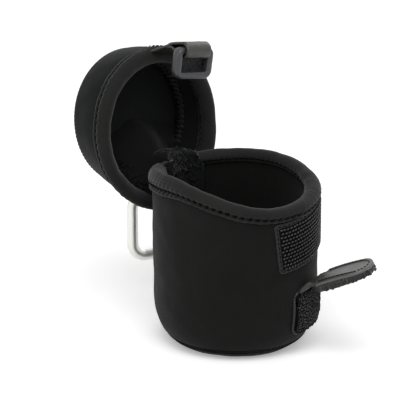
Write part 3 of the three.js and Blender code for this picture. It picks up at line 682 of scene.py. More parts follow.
def woven(name, shade, pitch=0.0011, sheen=0.15, gloss=0.25):
    """Plain woven tape."""
    finish = Finish(name)
    u, v = finish.cloth()
    warp = (u * (TAU / pitch)).sine()
    weft = (v * (TAU / pitch)).sine()
    weave = warp * weft
    fuzz = finish.noise(1500.0)
    constant(finish, Sheen_Weight=sheen, Specular_IOR_Level=gloss)
    return finish.set(
        Base_Color=finish.tinted(shade, weave * 0.25 + fuzz * 0.5 + 0.1, 0.6),
        Roughness=fuzz * 0.2 + 0.7,
        Normal=finish.bump(weave + fuzz * 0.6, 0.7, 0.0002),
    )


def piled(name, shade):
    """Looped pile, rough and matted."""
    finish = Finish(name)
    loops = finish.cells(900.0)
    fuzz = finish.noise(1300.0, 4.0, 0.7)
    constant(finish, Sheen_Weight=0.3, Sheen_Roughness=0.5, Specular_IOR_Level=0.1)
    return finish.set(
        Base_Color=finish.tinted(shade, loops * 0.6 + fuzz * 0.5, 0.8),
        Roughness=fuzz * 0.15 + 0.8,
        Normal=finish.bump(fuzz - loops, 0.9, 0.0005),
    )


def grained(name, shade, rough=0.36, specular=0.5):
    """Smooth leather with a fine grain, duller where it has been handled."""
    finish = Finish(name)
    grain = finish.cells(1500.0, "SMOOTH_F1")
    worn = finish.noise(140.0, 3.0)
    constant(finish, Specular_IOR_Level=specular)
    return finish.set(
        Base_Color=finish.tinted(shade, worn * 0.7 + grain * 0.2, 0.4),
        Roughness=worn * 0.22 + (rough - 0.1) + grain * 0.05,
        Normal=finish.bump(grain + worn * 0.4, 0.35, 0.00016),
    )


def moulded(name, shade):
    """Glossy moulded plastic with faint scuffs."""
    finish = Finish(name)
    scuff = finish.noise(420.0, 5.0, 0.7)
    broad = finish.noise(90.0, 2.0)
    constant(finish, Specular_IOR_Level=0.55)
    return finish.set(
        Base_Color=finish.tinted(shade, broad, 0.25),
        Roughness=scuff * 0.16 + broad * 0.1 + 0.12,
        Normal=finish.bump(scuff, 0.12, 0.0001),
    )


def blasted(name, shade, rough=0.42):
    """Fine blasted metal, a little polished where it rubs."""
    finish = Finish(name)
    grit = finish.noise(2400.0, 3.0)
    rub = finish.noise(120.0, 2.0)
    constant(finish, Metallic=1.0, Specular_IOR_Level=0.5)
    return finish.set(
        Base_Color=finish.tinted(shade, rub * 0.6 + grit * 0.3, 0.12),
        Roughness=grit * 0.14 + rub * 0.12 + (rough - 0.12),
        Normal=finish.bump(grit, 0.2, 0.00008),
    )


def finish_for(key):
    """One material for each finish, made when it is first asked for."""
    found = bpy.data.materials.get(key)
    if found:
        return found
    c = bpy.context.scene.finish_colours
    zigzag_share = 0.6
    makers = {
        "jersey": lambda: jersey(key, c.jersey),
        "lining": lambda: jersey(key, c.lining, depth=0.00008, sheen=0.06),
        "lid_jersey": lambda: jersey(key, c.lid, sheen=0.14),
        "rim_cloth": lambda: jersey(key, c.binding, wale=0.0009, course=0.0011, sheen=0.22),
        # Dark thread, partly painted shade: its colour also stands in for the shade in the stitch holes.
        "dark_thread_and_hole_shade": lambda: threaded(key, c.thread),
        "loose_thread": lambda: threaded(key, c.loose, 0.05),
        "zigzag_thread": lambda: threaded(key, tuple(shade * zigzag_share for shade in c.loose), 0.04),
        "tape_ground": lambda: woven(key, c.tape, sheen=0.0, gloss=0.08),
        "tape_hooks": lambda: grained(key, c.hooks, 0.45, 0.5),
        "tape_pile": lambda: piled(key, c.pile),
        "narrow_webbing": lambda: woven(key, c.binding, 0.0014),
        "strap_leather": lambda: grained(key, c.leather, 0.42),
        # Painted highlight: the face's leather is made lighter than the edge's to stand in for the glare on
        # its top.
        "strap_leather_painted_highlight": lambda: grained(key, c.face, 0.34, 0.7),
        "tab_leather": lambda: grained(key, c.tab, 0.3, 0.6),
        "ring_moulding": lambda: moulded(key, c.ring),
        "hook_metal": lambda: blasted(key, c.metal),
        "pin_metal": lambda: blasted(key, c.metal, 0.3),
    }
    return makers[key]()


# Pieces --------------------------------------------------------------------------------


def body_profile(scene):
    """Half section of the pouch from the middle of its base, up the outside and down the inside."""
    p = scene.pouch_sizes
    top = p.height - scene.binding_sizes.thickness - p.gap
    flat = corner_point(scene, 0, 0)
    outer_steps, inner_steps = 18, 10
    outer = line((0, 0), flat, FLAT_ROWS)
    outer += [corner_point(scene, RIGHT_ANGLE * step / outer_steps, 0) for step in range(1, outer_steps + 1)]
    outer += line((p.radius, p.corner_rise), (p.radius, top), 34)[1:]
    inner = line((p.radius - p.wall, top), (p.radius - p.wall, p.corner_rise), 24)
    inner += [corner_point(scene, RIGHT_ANGLE * step / inner_steps, p.wall)
              for step in range(inner_steps - 1, -1, -1)]
    inner += line(inner[-1], (0, p.wall), 5)[1:]
    return outer, inner


class PouchBody(bpy.types.Operator):
    """Adds the padded shell of the pouch, its base seam and the pad in its bottom"""

    bl_idname = "pouch.add_body"
    bl_label = "Pouch Body"

    def execute(self, context):
        scene = context.scene
        p = scene.pouch_sizes
        place = pouch_place(scene)
        outer, inner = body_profile(scene)
        outer_run = runs_of(outer)[-1]
        seam_run = runs_of(outer[:FLAT_ROWS + 1])[-1] + self.corner_run(scene, p.seam_turn)
        rim_fade, base_fade, seam_spread, groove_spread, groove_depth = 0.012, 0.045, 0.007, 0.0011, 0.0004

        def relief(turn, run):
            if run > outer_run:
                return 0.0
            held = eased((outer_run - run) / rim_fade) * eased(run / base_fade)
            out = min(run / p.radius, 1)
            x, y = out * math.cos(turn), out * math.sin(turn)
            wave = ripple(x, y, run * 22, 1.5) + 0.4 * ripple(x * 2, y * 2, run * 60, 2.1)
            groove = hump(run, seam_run, groove_spread)
            calm = 1 - 0.7 * hump(run, seam_run, seam_spread)
            return wave * p.softness * held * calm * 2 - groove * groove_depth

        shell = spun(outer + inner, place, steps=160, relief=relief)
        body = finished("pouch_body", shell, "jersey", ["pouch"],
                        ("body_wall", "body_base"))
        self.add_seam(scene, place)
        self.add_pad(scene)
        return {"FINISHED"}

    def corner_run(self, scene, theta):
        """Length of the bottom corner's curve up to an angle."""
        steps = 12
        return runs_of([corner_point(scene, theta * step / steps, 0) for step in range(steps + 1)])[-1]

    def add_seam(self, scene, place):
        """Overlocked seam round the bottom corner."""
        p, b = scene.pouch_sizes, scene.binding_sizes
        thread_pitch, sink = 0.0019, 0.3
        half = SEAM_WIDTH / 2 / math.hypot(p.corner_reach, p.corner_rise) * 1.25
        reach, level = corner_point(scene, p.seam_turn, 0)
        count = round(TAU * reach / thread_pitch)
        points, sides, lifts = [], [], []
        for index in range(count):
            turn = TAU * index / count
            middle = place(turn, reach, level)
            low = place(turn, *corner_point(scene, p.seam_turn - half, 0))
            high = place(turn, *corner_point(scene, p.seam_turn + half, 0))
            out = place(turn, *corner_point(scene, p.seam_turn, -0.001)) - middle
            points.append(middle - out * sink)
            sides.append((high - low).normalized())
            lifts.append(out.normalized())
        bm = bmesh.new()
        overlock(bm, (points, sides, lifts), SEAM_WIDTH, b.thread * 1.3)
        finished("base_overlock", bm, "dark_thread_and_hole_shade", ["pouch"], ("base_seam",))

    def add_pad(self, scene):
        """Soft round pad in the bottom, crowned between its edge seam and the middle."""
        p = scene.pouch_sizes
        radius, thickness, bottom = 0.0275, 0.004, p.wall + p.gap
        top = bottom + thickness
        profile = line((0, bottom), (radius - 0.002, bottom), 6)
        profile += [(radius - 0.0008, bottom + 0.0006), (radius, bottom + 0.002)]
        profile += [(radius - inset, top - drop) for inset, drop in (
            (0.0008, 0.0008), (0.002, 0.0006), (0.0034, 0.001), (0.0048, 0.0003))]
        profile += line((radius - 0.007, top), (0, top), 8)

        def flat(turn, reach, level):
            return Vector((reach * math.sin(turn), reach * math.cos(turn), level))

        bm = spun(profile, flat)
        pad = finished("base_cushion", bm, "lining", ["pouch"], ("base_pad",))


def binding_profile(scene, radius, edge, sense, drop):
    """Loop of tape over a rim: sense is 1 where the wall hangs below it and -1 where it rises above."""
    p, b = scene.pouch_sizes, scene.binding_sizes
    half = p.wall / 2 + p.gap + b.thickness
    swollen = half + b.fullness
    middle = radius - p.wall / 2
    steps, hem, swell_run = 8, 0.0002, 0.0012
    levels = [mix(-drop + 2 * hem, -b.crown, step / steps) for step in range(steps + 1)]
    full = half + b.outer_fullness
    outside = [(half - hem, -drop)]
    outside += [(half + b.outer_fullness * eased((level + drop - b.stitch_rise) / swell_run), level)
                for level in levels[:-1]]
    crown = [(mix(full, -swollen, (1 + x) / 2), z * (b.crown + b.proud) - b.crown) for x, z in arch(1, 1, 16)]
    inside = [(mix(-swollen, -half, eased(step / steps)), level)
              for step, level in enumerate(reversed(levels))][1:] + [(-half + hem, -drop)]
    outer = outside + crown + inside
    inner = [(-half + b.thickness, -drop), (-half + b.thickness, -b.thickness * 1.5)]
    inner += [(half - b.thickness, -b.thickness * 1.5), (half - b.thickness, -drop)]
    return [(middle + x, edge + sense * z) for x, z in outer + inner], runs_of(outer)[-1]


def bound_rim(scene, name, place, radius, edge, sense, drop, start, stop, replaces, body, lean=0.0):
    """Tape folded over a rim, puckered at its stitches, with the two rows of stitches."""
    p, b = scene.pouch_sizes, scene.binding_sizes
    profile, outer_run = binding_profile(scene, radius, edge, sense, drop)
    count = round((stop - start) * radius / b.pitch)
    whole = stop - start > TAU - 0.001
    narrowest, groove_spread, pinch_spread, hem_spread = -0.08, 0.0011, 0.0022, 0.0009

    def narrowed(turn, reach, level):
        part = 0
        if not whole:
            part = mix(narrowest, b.widening, eased((turn - p.dip_turn + 0.2) / 0.6))
            part += b.end_widening * eased((turn - p.side_turn + 0.4) / 0.5)
        return place(turn, reach + (level - edge) * lean, edge + (level - edge) * (1 + part))

    def relief(turn, run):
        if run > outer_run:
            return 0.0
        inwards = min(run, outer_run - run)
        phase = (turn - start) / (stop - start) * count
        pinch = (0.5 + 0.5 * math.cos(TAU * (phase - 0.5 + (inwards - b.stitch_rise) * 160))) ** 2
        seam = hump(inwards, b.stitch_rise, groove_spread)
        spread = hump(inwards, b.stitch_rise + 0.0008, pinch_spread)
        edge_wave = hump(inwards, 0, hem_spread) * 0.00025
        roll = 0.0003 * ripple(math.cos(turn) * 3, math.sin(turn) * 3, run * 40, 2.0)
        ribs = 0.00005 * math.sin(TAU * phase * 5)
        return -seam * b.pucker * (0.6 + 0.4 * pinch) - spread * 0.0003 * pinch + edge_wave + roll + ribs

    bm = spun(profile, narrowed, start, stop, steps=count * 8, loop=True, relief=relief)
    finished(name, bm, "rim_cloth", [body], replaces)
    stitches = bmesh.new()
    half = p.wall / 2 + p.gap + b.thickness
    rise = edge - sense * (drop - b.stitch_rise)
    for side in (1, -1):
        reach = radius - p.wall / 2 + side * (half - b.pucker * 0.6)
        points, outs = around(narrowed, reach, rise, start, stop, count)
        for index, (point, out) in enumerate(zip(points, outs)):
            along = points[index - 1] - point if index else point - points[1]
            down = narrowed(start, reach, rise) - narrowed(start, reach, rise + 0.001 * sense)
            add_thread(stitches, point, along + down.normalized() * along.length * 0.28, out * side,
                       b.stitch, b.rim_thread, *STITCH_BALL)
    # The stitches' near-black colour is partly painted shade for the holes they sink into.
    finished(name + "_stitches", stitches, "dark_thread_and_hole_shade", [body], merge=False)


class PouchBinding(bpy.types.Operator):
    """Adds the tape over the mouth of the pouch, with its stitches"""

    bl_idname = "pouch.add_binding"
    bl_label = "Mouth Binding"

    def execute(self, context):
        scene = context.scene
        p, b = scene.pouch_sizes, scene.binding_sizes
        gap = math.asin(b.gap_half / p.radius)
        place = pouch_place(scene)
        tuck = math.asin(b.gap_tuck / p.radius)
        bound_rim(scene, "mouth_binding", place, p.radius, p.height, 1, b.drop, tuck, TAU - gap,
                  ("body_binding",), "pouch")
        self.add_join(scene, place)
        return {"FINISHED"}

    def add_join(self, scene, place):
        """Lapped join across the tape, at the side of the mouth."""
        p, b = scene.pouch_sizes, scene.binding_sizes
        half = p.wall / 2 + p.gap + b.thickness + 0.0001
        middle = p.radius - p.wall / 2
        section = [(half, -b.drop + 0.001)] + [(-x, z - b.crown + 0.0001) for x, z in arch(half, b.crown, 12)]
        join_turn, join_width = math.radians(118), 0.0022

        def point(u, v):
            index = v * (len(section) - 1)
            low = min(int(index), len(section) - 2)
            x, z = (mix(a, c, index - low) for a, c in zip(section[low], section[low + 1]))
            return place(join_turn + (u - 0.5) * join_width / p.radius, middle + x, p.height + z)

        bm = sheet_grid(4, 24, point)
        thickened(bm, 0.0005)
        sharp = [edge for edge in bm.edges if edge.calc_face_angle(0) > 1]
        bmesh.ops.bevel(bm, geom=sharp, offset=0.00015, segments=2, **BEVEL)
        finished("binding_join", bm, "rim_cloth", ["pouch"])


class PouchLid(bpy.types.Operator):
    """Adds the padded lid with its binding and its seams, inside and out"""

    bl_idname = "pouch.add_lid"
    bl_label = "Lid"

    def execute(self, context):
        scene = context.scene
        p, l, b = scene.pouch_sizes, scene.lid_sizes, scene.binding_sizes
        place = lid_place(scene)
        profile, outer_run = self.profile(scene)
        edge_run = outer_run - l.top_radius + l.corner * 0.3
        rim_fade, edge_spread = 0.01, 0.006

        def relief(turn, run):
            out = min(abs(run - outer_run) / l.top_radius, 1)
            x, y = out * math.cos(turn), out * math.sin(turn)
            inside = run > outer_run
            held = eased(run / rim_fade) * (1 - 0.6 * hump(run, edge_run, edge_spread))
            wave = ripple(x, y, run * 30, 1.3) + 0.5 * ripple(x * 2, y * 2, run * 50, 2.3)
            return wave * p.softness * held * (0.6 if inside else 1.5)

        shell = spun(profile, place, steps=160, relief=relief)
        lid = finished("lid_shell", shell, "lid_jersey", ["lid"],
                       ("lid_wall", "lid_wall_back", "lid_top"))
        bound_rim(scene, "lid_rim_binding", place, l.radius, 0.0, -1, b.lid_drop, 0.0, TAU,
                  ("lid_binding", "lid_binding_back"), "lid", (l.top_radius - l.radius) / l.height)
        self.add_edge_seam(scene, place)
        self.add_inner_seam(scene, place)
        return {"FINISHED"}

    def profile(self, scene):
        """Half section of the lid: up the outside from the rim to the middle of the top, then back inside."""
        p, l, b = scene.pouch_sizes, scene.lid_sizes, scene.binding_sizes
        bottom = b.thickness + p.gap
        outer = [(lid_reach(scene, bottom), bottom)]
        rows, corner_steps, inner_bevel = 12, 8, 0.0015
        for row in range(rows + 1):
            level = mix(b.lid_drop, l.height - l.corner, row / rows)
            outer.append((lid_reach(scene, level) + l.bulge * math.sin(math.pi * row / rows), level))
        for step in range(1, corner_steps + 1):
            turn = RIGHT_ANGLE * step / corner_steps
            level = l.height - l.corner * (1 - math.sin(turn))
            outer.append((lid_reach(scene, level) - l.corner * (1 - math.cos(turn)), level))
        outer += line(outer[-1], (0, l.height), 9)[1:]
        under = l.height - p.wall
        inner = line((0, under), (lid_reach(scene, under) - p.wall - inner_bevel, under), 9)
        inner.append((lid_reach(scene, under) - p.wall, under - inner_bevel))
        inner += line(inner[-1], (lid_reach(scene, bottom) - p.wall, bottom), 10)[1:]
        return outer + inner + [outer[0]], runs_of(outer)[-1]

    def add_edge_seam(self, scene, place):
        """Overlocked edge where the wall meets the flat top."""
        l, b = scene.lid_sizes, scene.binding_sizes
        points, sides, lifts = [], [], []
        thread_pitch, sink, turn_out = 0.0021, 0.0004, math.pi / 4
        count = round(TAU * l.top_radius / thread_pitch)

        def at(turn, around_corner, proud):
            level = l.height - l.corner + (l.corner + proud) * math.sin(around_corner)
            reach = lid_reach(scene, level) - l.corner + (l.corner + proud) * math.cos(around_corner)
            return place(turn, reach, level)

        for index in range(count):
            turn = TAU * index / count
            middle = at(turn, turn_out, -sink)
            points.append(middle)
            lifts.append((at(turn, turn_out, 0.001) - middle).normalized())
            sides.append((at(turn, turn_out + 0.2, 0) - at(turn, turn_out - 0.2, 0)).normalized())
        bm = bmesh.new()
        overlock(bm, (points, sides, lifts), SEAM_WIDTH, b.thread * 1.7)
        finished("lid_overlock", bm, "dark_thread_and_hole_shade", ["lid"], ("lid_seam",))

    def add_inner_seam(self, scene, place):
        """Seam allowance inside the lid, with the zigzag that holds it."""
        p, l, b = scene.pouch_sizes, scene.lid_sizes, scene.binding_sizes
        level = l.height - p.wall - 0.0022
        reach = lid_reach(scene, level) - p.wall
        half_thickness, half_height, offset, sides = 0.0014, 0.0026, 0.0009, 14
        roll = [(reach + half_thickness * math.cos(t) - offset, level + half_height * math.sin(t))
                for t in (TAU * step / sides for step in range(sides))]
        count = 76

        def relief(turn, run):
            pinch = math.cos(turn * count)
            return 0.0006 * pinch + 0.0004 * ripple(math.cos(turn) * 6, math.sin(turn) * 6, run * 100, 2.0)

        bm = spun(roll, place, steps=count * 8, loop=True, relief=relief)
        finished("lid_inner_allowance", bm, "rim_cloth", ["lid"])
        zigzag = bmesh.new()
        inner = reach - 0.0025
        for index in range(count):
            turn = TAU * index / count
            step = TAU / count / 2
            low = place(turn - step, inner, level - half_height)
            high = place(turn, inner - 0.0002, level + half_height)
            again = place(turn + step, inner, level - half_height)
            lift = (place(turn, reach - 0.01, level) - place(turn, reach, level)).normalized()
            for a, c in ((low, high), (high, again)):
                add_thread(zigzag, (a + c) / 2, c - a, lift, (c - a).length * 0.8, b.thread * 2)
        finished("lid_inner_zigzag", zigzag, "zigzag_thread", ["lid"], merge=False)


def smooth_path(points, share_of):
    """A point on a smooth curve through the points, at a share of their number."""
    count = len(points) - 1
    position = min(max(share_of, 0.0), 1.0) * count
    index = min(int(position), count - 1)
    t = position - index
    p1, p2 = points[index], points[index + 1]
    p0 = points[index - 1] if index else p1 * 2 - p2
    p3 = points[index + 2] if index + 2 <= count else p2 * 2 - p1
    return 0.5 * (2 * p1 + (p2 - p0) * t + (2 * p0 - 5 * p1 + 4 * p2 - p3) * t * t
                  + (3 * p1 - p0 - 3 * p2 + p3) * t ** 3)


class HingeStrip(bpy.types.Operator):
    """Adds the soft strip that joins the lid to the back of the pouch"""

    bl_idname = "pouch.add_hinge"
    bl_label = "Hinge Strip"

    def execute(self, context):
        scene = context.scene
        l = scene.lid_sizes
        self.cached = {}

        def middle(u, v):
            point = smooth_path(self.line_at(scene, u * 2 - 1), v)
            waist = l.strip_tuck if point.x > 0 else l.strip_waist
            point.x *= 1 - waist * hump(v, 0.5, 0.16)
            point.x *= 1 - l.strip_hidden * eased((v - 0.44) / 0.11)
            point.z -= l.strip_droop * abs(2 * u - 1) ** 3 * hump(v, 0.53, 0.08)
            return point

        def relief(u, v):
            lump = 0.0006 * ripple(u * 5, v * 12, 0, 1.7) + 0.0004 * ripple(u * 14, v * 34, 3, 1.7)
            sewn = hump(v, 0.3, 0.12) + hump(v, 0.95, 0.08)
            return lump * (0.5 + sewn) + sewn * 0.0005 * math.sin(u * 50) * math.sin(v * 110)

        bm = sheet_grid(40, 90, middle, relief)
        thickened(bm, l.strip_thickness)
        ends = ["pouch", "lid", self.path_point(scene, 0.42), self.path_point(scene, 0.86)]
        finished("hinge_cloth", bm, "lid_jersey", ends, ("hinge_strip",))
        self.add_gusset(scene)
        self.add_loops(scene, middle, ends)
        return {"FINISHED"}

    def add_gusset(self, scene):
        """Soft funnel of cloth from the hump over to the inside of the lid, sewn down along its sides."""
        l, p = scene.lid_sizes, scene.pouch_sizes
        lid = lid_place(scene)
        under = l.height - p.wall
        crest = self.path_point(scene, 0.5)
        seat = lid(0.0, l.top_radius - 0.036, under)
        foot = lid(0.0, l.top_radius - 0.012, under - 0.003)
        spine = [crest + UP * 0.0012, crest.lerp(foot, 0.42) + UP * 0.0008, foot + Vector((0, -0.006, 0.013)),
                 seat + Vector((0, 0.0012, 0))]
        out = (lid(0.0, 0.0, l.height) - lid(0.0, 0.0, under)).normalized()
        thickness, shoulder, puff, sink = 0.0014, 0.55, 0.001, 0.0018

        def side_at(sign, v):
            level = mix(0.0026, under - 0.0004, eased(v * 1.25))
            turn = sign * mix(l.gusset_start, l.gusset_end, v)
            wall = lid(turn, lid_reach(scene, level) - p.wall + 0.0008, level)
            if sign < 0:
                return wall
            return (crest + ACROSS * 0.007 - UP * 0.002).lerp(wall, eased(v / 0.45))

        def point(u, v):
            ridge = smooth_path(spine, v)
            left, right = side_at(-1, v), side_at(1, v)
            knots = [left, left.lerp(ridge, shoulder) + out * puff, ridge,
                     right.lerp(ridge, shoulder) + out * puff, right]
            return smooth_path(knots, u) + out * sink * eased((v - 0.7) / 0.3)

        bm = sheet_grid(64, 48, point, lambda u, v: 0.0008 * ripple(u * 4, v * 3, 5, 1.6))
        thickened(bm, thickness)
        ends = ["pouch", "lid", self.path_point(scene, 0.46), self.path_point(scene, 0.6)]
        finished("lid_gusset", bm, "lining", ends)
        self.add_gusset_loops(point)

    def add_gusset_loops(self, point):
        """Loose loops of thread along the funnel's sewn sides."""
        chance = random.Random(17)
        loops = bmesh.new()
        count = 150
        for index in range(count):
            v = chance.uniform(0.08, 0.62)
            u = chance.choice((0, 1)) + (chance.uniform(0.02, 0.2)) * (1 if index % 2 else -1)
            u = min(max(u, 0.02), 0.98) if 0 < u < 1 else abs(u % 1)
            spot = point(u, v)
            side = (point(u, v + 0.02) - spot).normalized()
            ahead = (point(min(u + 0.01, 1), v) - spot).normalized()
            lift = side.cross(ahead).normalized()
            lift = lift if lift.y < 0 else -lift
            slant = chance.uniform(0, math.pi)
            add_thread(loops, spot + lift * 0.0009, side * math.cos(slant) + ahead * math.sin(slant), lift,
                       chance.uniform(0.002, 0.0034), chance.uniform(0.0009, 0.0013), *LOOSE_BALL)
        finished("gusset_overlock", loops, "loose_thread", ["lid"], merge=False)

    def path_point(self, scene, v):
        """A point of the strip's middle line."""
        return smooth_path(self.line_at(scene, 0.0), v)

    def line_at(self, scene, aside_share):
        """Points that one line of the strip passes through, from inside the pouch to the lid."""
        key = round(aside_share, 4)
        if key in self.cached:
            return self.cached[key]
        p, l = scene.pouch_sizes, scene.lid_sizes
        pouch, lid = pouch_place(scene), lid_place(scene)
        half = l.strip_thickness / 2
        aside = aside_share * l.strip_width / 2
        turn = math.asin(aside / p.radius)
        lid_turn = math.asin(aside / l.top_radius)
        inside = p.radius - p.wall - 2 * p.gap - half
        under = l.height - p.wall - p.gap - half
        seat = p.wall + l.strip_inset + l.strip_run

        def on_lid(inset, level):
            point = lid(lid_turn, lid_reach(scene, level) - inset, level)
            point.x = aside
            return point

        crest = pouch(turn, p.radius - p.wall / 2, p.height) + UP * l.strip_hump
        self.cached[key] = [
            pouch(turn, inside, p.height - l.strip_tail),
            pouch(turn, inside, p.height - l.strip_tail / 2),
            pouch(turn, inside, p.height - 0.002),
            crest,
            on_lid(seat + l.strip_approach, under - l.strip_approach),
            on_lid(seat, under - 2 * p.gap),
            on_lid(p.wall + l.strip_inset, under),
        ]
        return self.cached[key]

    def add_loops(self, scene, middle, ends):
        """Looped, crumpled overlock where the strip is sewn down."""
        half = scene.lid_sizes.strip_thickness / 2
        chance = random.Random(7)
        bm = bmesh.new()
        rows, count = (0.05, 0.13, 0.24, 0.35, 0.42, 0.49, 0.83, 0.90, 0.97), 14
        for v in rows:
            for index in range(count):
                u = mix(0.06, 0.94, (index + 0.5 + chance.uniform(-0.25, 0.25)) / count)
                row = v + chance.uniform(-0.022, 0.022)
                spot = middle(u, row)
                side = (middle(u, row + 0.01) - middle(u, row - 0.01)).normalized()
                normal = ACROSS.cross(side).normalized()
                slant = chance.uniform(0.5, 1.2) * (1 if index % 2 else -1)
                along = ACROSS * math.cos(slant) + side * math.sin(slant)
                for sense in (1, -1):
                    lifted = spot + normal * sense * (half + chance.uniform(-0.0003, 0.0003))
                    add_thread(bm, lifted, along, normal,
                               chance.uniform(0.002, 0.003), chance.uniform(0.0008, 0.0012), *LOOSE_BALL)
        finished("hinge_overlock", bm, "loose_thread", ends, merge=False)


def body_reach(scene, level):
    """Outer radius of the pouch at a level."""
    p = scene.pouch_sizes
    part = min(level / p.corner_rise, 1)
    return p.radius - p.corner_reach * (1 - math.sqrt(1 - (1 - part) ** 2))


def patch_point(scene, place, width, bottom, height, corner, lift, tilt=0.0):
    """Gives a function from shares across and up a patch on the pouch to a point, with round corners."""
    c, p = scene.closure_sizes, scene.pouch_sizes

    def point(u, v):
        aside = (u - 0.5) * width
        from_end = width / 2 - abs(aside)
        cut = corner - math.sqrt(max(corner ** 2 - (corner - from_end) ** 2, 0)) if from_end < corner else 0
        level = mix(bottom + cut, bottom + height - cut, v) - aside * tilt
        aside += (v - 0.5) * height * tilt
        return place(math.pi - c.turn + aside / p.radius, body_reach(scene, level) + lift, level)

    return point


def patch_normal(point, u, v):
    return (point(min(u + 0.01, 1), v) - point(max(u - 0.01, 0), v)).cross(
        point(u, min(v + 0.01, 1)) - point(u, max(v - 0.01, 0))).normalized() * -1


class ClosurePatches(bpy.types.Operator):
    """Adds the hook patch and the strap's root on the front of the pouch"""

    bl_idname = "pouch.add_patches"
    bl_label = "Closure Patches"

    def execute(self, context):
        scene = context.scene
        self.add_hook_patch(scene)
        self.add_root(scene)
        return {"FINISHED"}

    def add_hook_patch(self, scene):
        """Woven ground with rows of small hooks."""
        p, c, b = scene.pouch_sizes, scene.closure_sizes, scene.binding_sizes
        place = pouch_place(scene)
        bottom = p.height - c.patch_drop - c.patch_height
        size = (c.patch_width, bottom, c.patch_height, 0.0012)
        tilt = math.tan(c.patch_tilt)
        facing = strap_frame(scene)[1]
        lift, backing, tape = 0.0001, 0.0007, 0.0002
        top = lift + backing
        sheet = sheet_grid(48, 34, patch_point(scene, place, *size, lift, tilt))
        thickened(sheet, backing, facing, 1)
        finished("patch_ground", sheet, "narrow_webbing", ["pouch"],
                 ("hook_patch_backing",))
        border = c.patch_border
        inner = (c.patch_width - 2 * border, bottom + border, c.patch_height - 2 * border, 0.0006)
        field = patch_point(scene, place, *inner, top, tilt)
        rows = round(inner[2] / c.row_pitch)
        columns = round(inner[0] / c.hook_pitch)
        ground = sheet_grid(columns * 2, rows * 3, field)
        thickened(ground, tape, facing, 1)
        hooks = bmesh.new()
        covered = p.height - b.drop - 0.0003
        chance = random.Random(3)
        for row in range(rows):
            for column in range(columns):
                u = (column + 0.5 + chance.uniform(-0.1, 0.1) + 0.4 * (row % 2)) / (columns + 0.4)
                v = (row + 0.5 + chance.uniform(-0.06, 0.06)) / rows
                if inner[1] + inner[2] * v - (u - 0.5) * inner[0] * tilt > covered:
                    continue
                spot = field(u, v)
                normal = patch_normal(field, u, v)
                side = (field(max(u - 0.02, 0), v) - spot).normalized()
                add_thread(hooks, spot + normal * 0.0006, side + UP * chance.uniform(0.1, 0.7), normal,
                           c.hook_pitch * 0.85, 0.0009, *HOOK_BALL)
        finished("patch_field", ground, "tape_ground", ["pouch"], ("hook_patch",))
        finished("patch_hooks", hooks, "tape_hooks", ["pouch"], merge=False)
        face = patch_point(scene, place, *size, top, tilt)
        self.edge_stitches(face, c.patch_width, c.patch_height, b.thread)

    def edge_stitches(self, point, width, height, thread):
        """A row of stitches just inside the edge of the patch."""
        inset, pitch, stitch = 0.001, 0.0026, 0.0018
        bm = bmesh.new()
        left, low = inset / width, inset / height
        corners = [(left, low), (1 - left, low), (1 - left, 1 - low), (left, 1 - low), (left, low)]
        for (u0, v0), (u1, v1) in zip(corners, corners[1:]):
            count = max(2, round(math.hypot((u1 - u0) * width, (v1 - v0) * height) / pitch))
            for index in range(count):
                part = (index + 0.5) / count
                u, v = mix(u0, u1, part), mix(v0, v1, part)
                along = point(u + (u1 - u0) * 0.02, v + (v1 - v0) * 0.02) - point(u, v)
                add_thread(bm, point(u, v), along, patch_normal(point, u, v), stitch, thread)
        finished("patch_stitches", bm, "dark_thread_and_hole_shade", ["pouch"], merge=False)

    def add_root(self, scene):
        """Leather with a field of pile, sewn to the front."""
        c = scene.closure_sizes
        place = pouch_place(scene)
        size = (c.root_width, c.root_bottom, c.root_height, c.root_round)
        seat, inset = 0.0001, 0.0013
        backing = sheet_grid(30, 26, patch_point(scene, place, *size, seat))
        facing = strap_frame(scene)[1]
        thickened(backing, c.root_leather, facing, 1)
        finished("root_leather", backing, "strap_leather", ["pouch"], ("strap_root",))
        inner = (c.root_width - 2 * inset, c.root_bottom + inset, c.root_height - 2 * inset,
                 c.root_round - inset)
        lift = seat + c.root_leather
        field = patch_point(scene, place, *inner, lift)

        def relief(u, v):
            edge = min(u, 1 - u, v, 1 - v) * 8
            return 0.0005 * ripple(u * 30, v * 30, 0, 1.0) - 0.0007 * (1 - eased(edge))

        ground = sheet_grid(56, 56, field, relief)
        thickened(ground, c.root_pile, facing, 1)
        finished("root_pile", ground, "tape_ground", ["pouch"], ("strap_root_tape",))
        loops = bmesh.new()
        chance = random.Random(11)
        top = patch_point(scene, place, *inner, lift + c.root_pile)
        count, fibres = 15, 220
        for row in range(count):
            for column in range(count):
                u = (column + 0.5 + chance.uniform(-0.25, 0.25)) / count
                v = (row + 0.5 + chance.uniform(-0.25, 0.25)) / count
                normal = patch_normal(top, u, v)
                turn = chance.uniform(0, math.pi)
                along = ACROSS * math.cos(turn) + UP * math.sin(turn) + normal * chance.uniform(-0.2, 0.6)
                add_thread(loops, top(u, v) + normal * 0.0003, along, normal, 0.0013, 0.0008)
        fringe = patch_point(scene, place, *size, lift)
        middle = fringe(0.5, 0.5)
        for index in range(fibres):
            part = (index + chance.random()) / fibres * 4
            side, along_share = int(part), part % 1
            u, v = [(along_share, 0.02), (0.985, along_share), (along_share, 0.98), (0.02, along_share)][side]
            if side in (1, 3):
                v = mix(0.12, 0.88, v)
            scatter = Vector([chance.uniform(-0.4, 0.4) for _ in range(3)])
            away = (fringe(u, v) - middle).normalized() + scatter
            add_thread(loops, fringe(u, v), away, patch_normal(fringe, u, v),
                       chance.uniform(0.0012, 0.0026), 0.0004, *FIBRE_BALL)
        finished("root_loops", loops, "tape_pile", ["pouch"], merge=False)


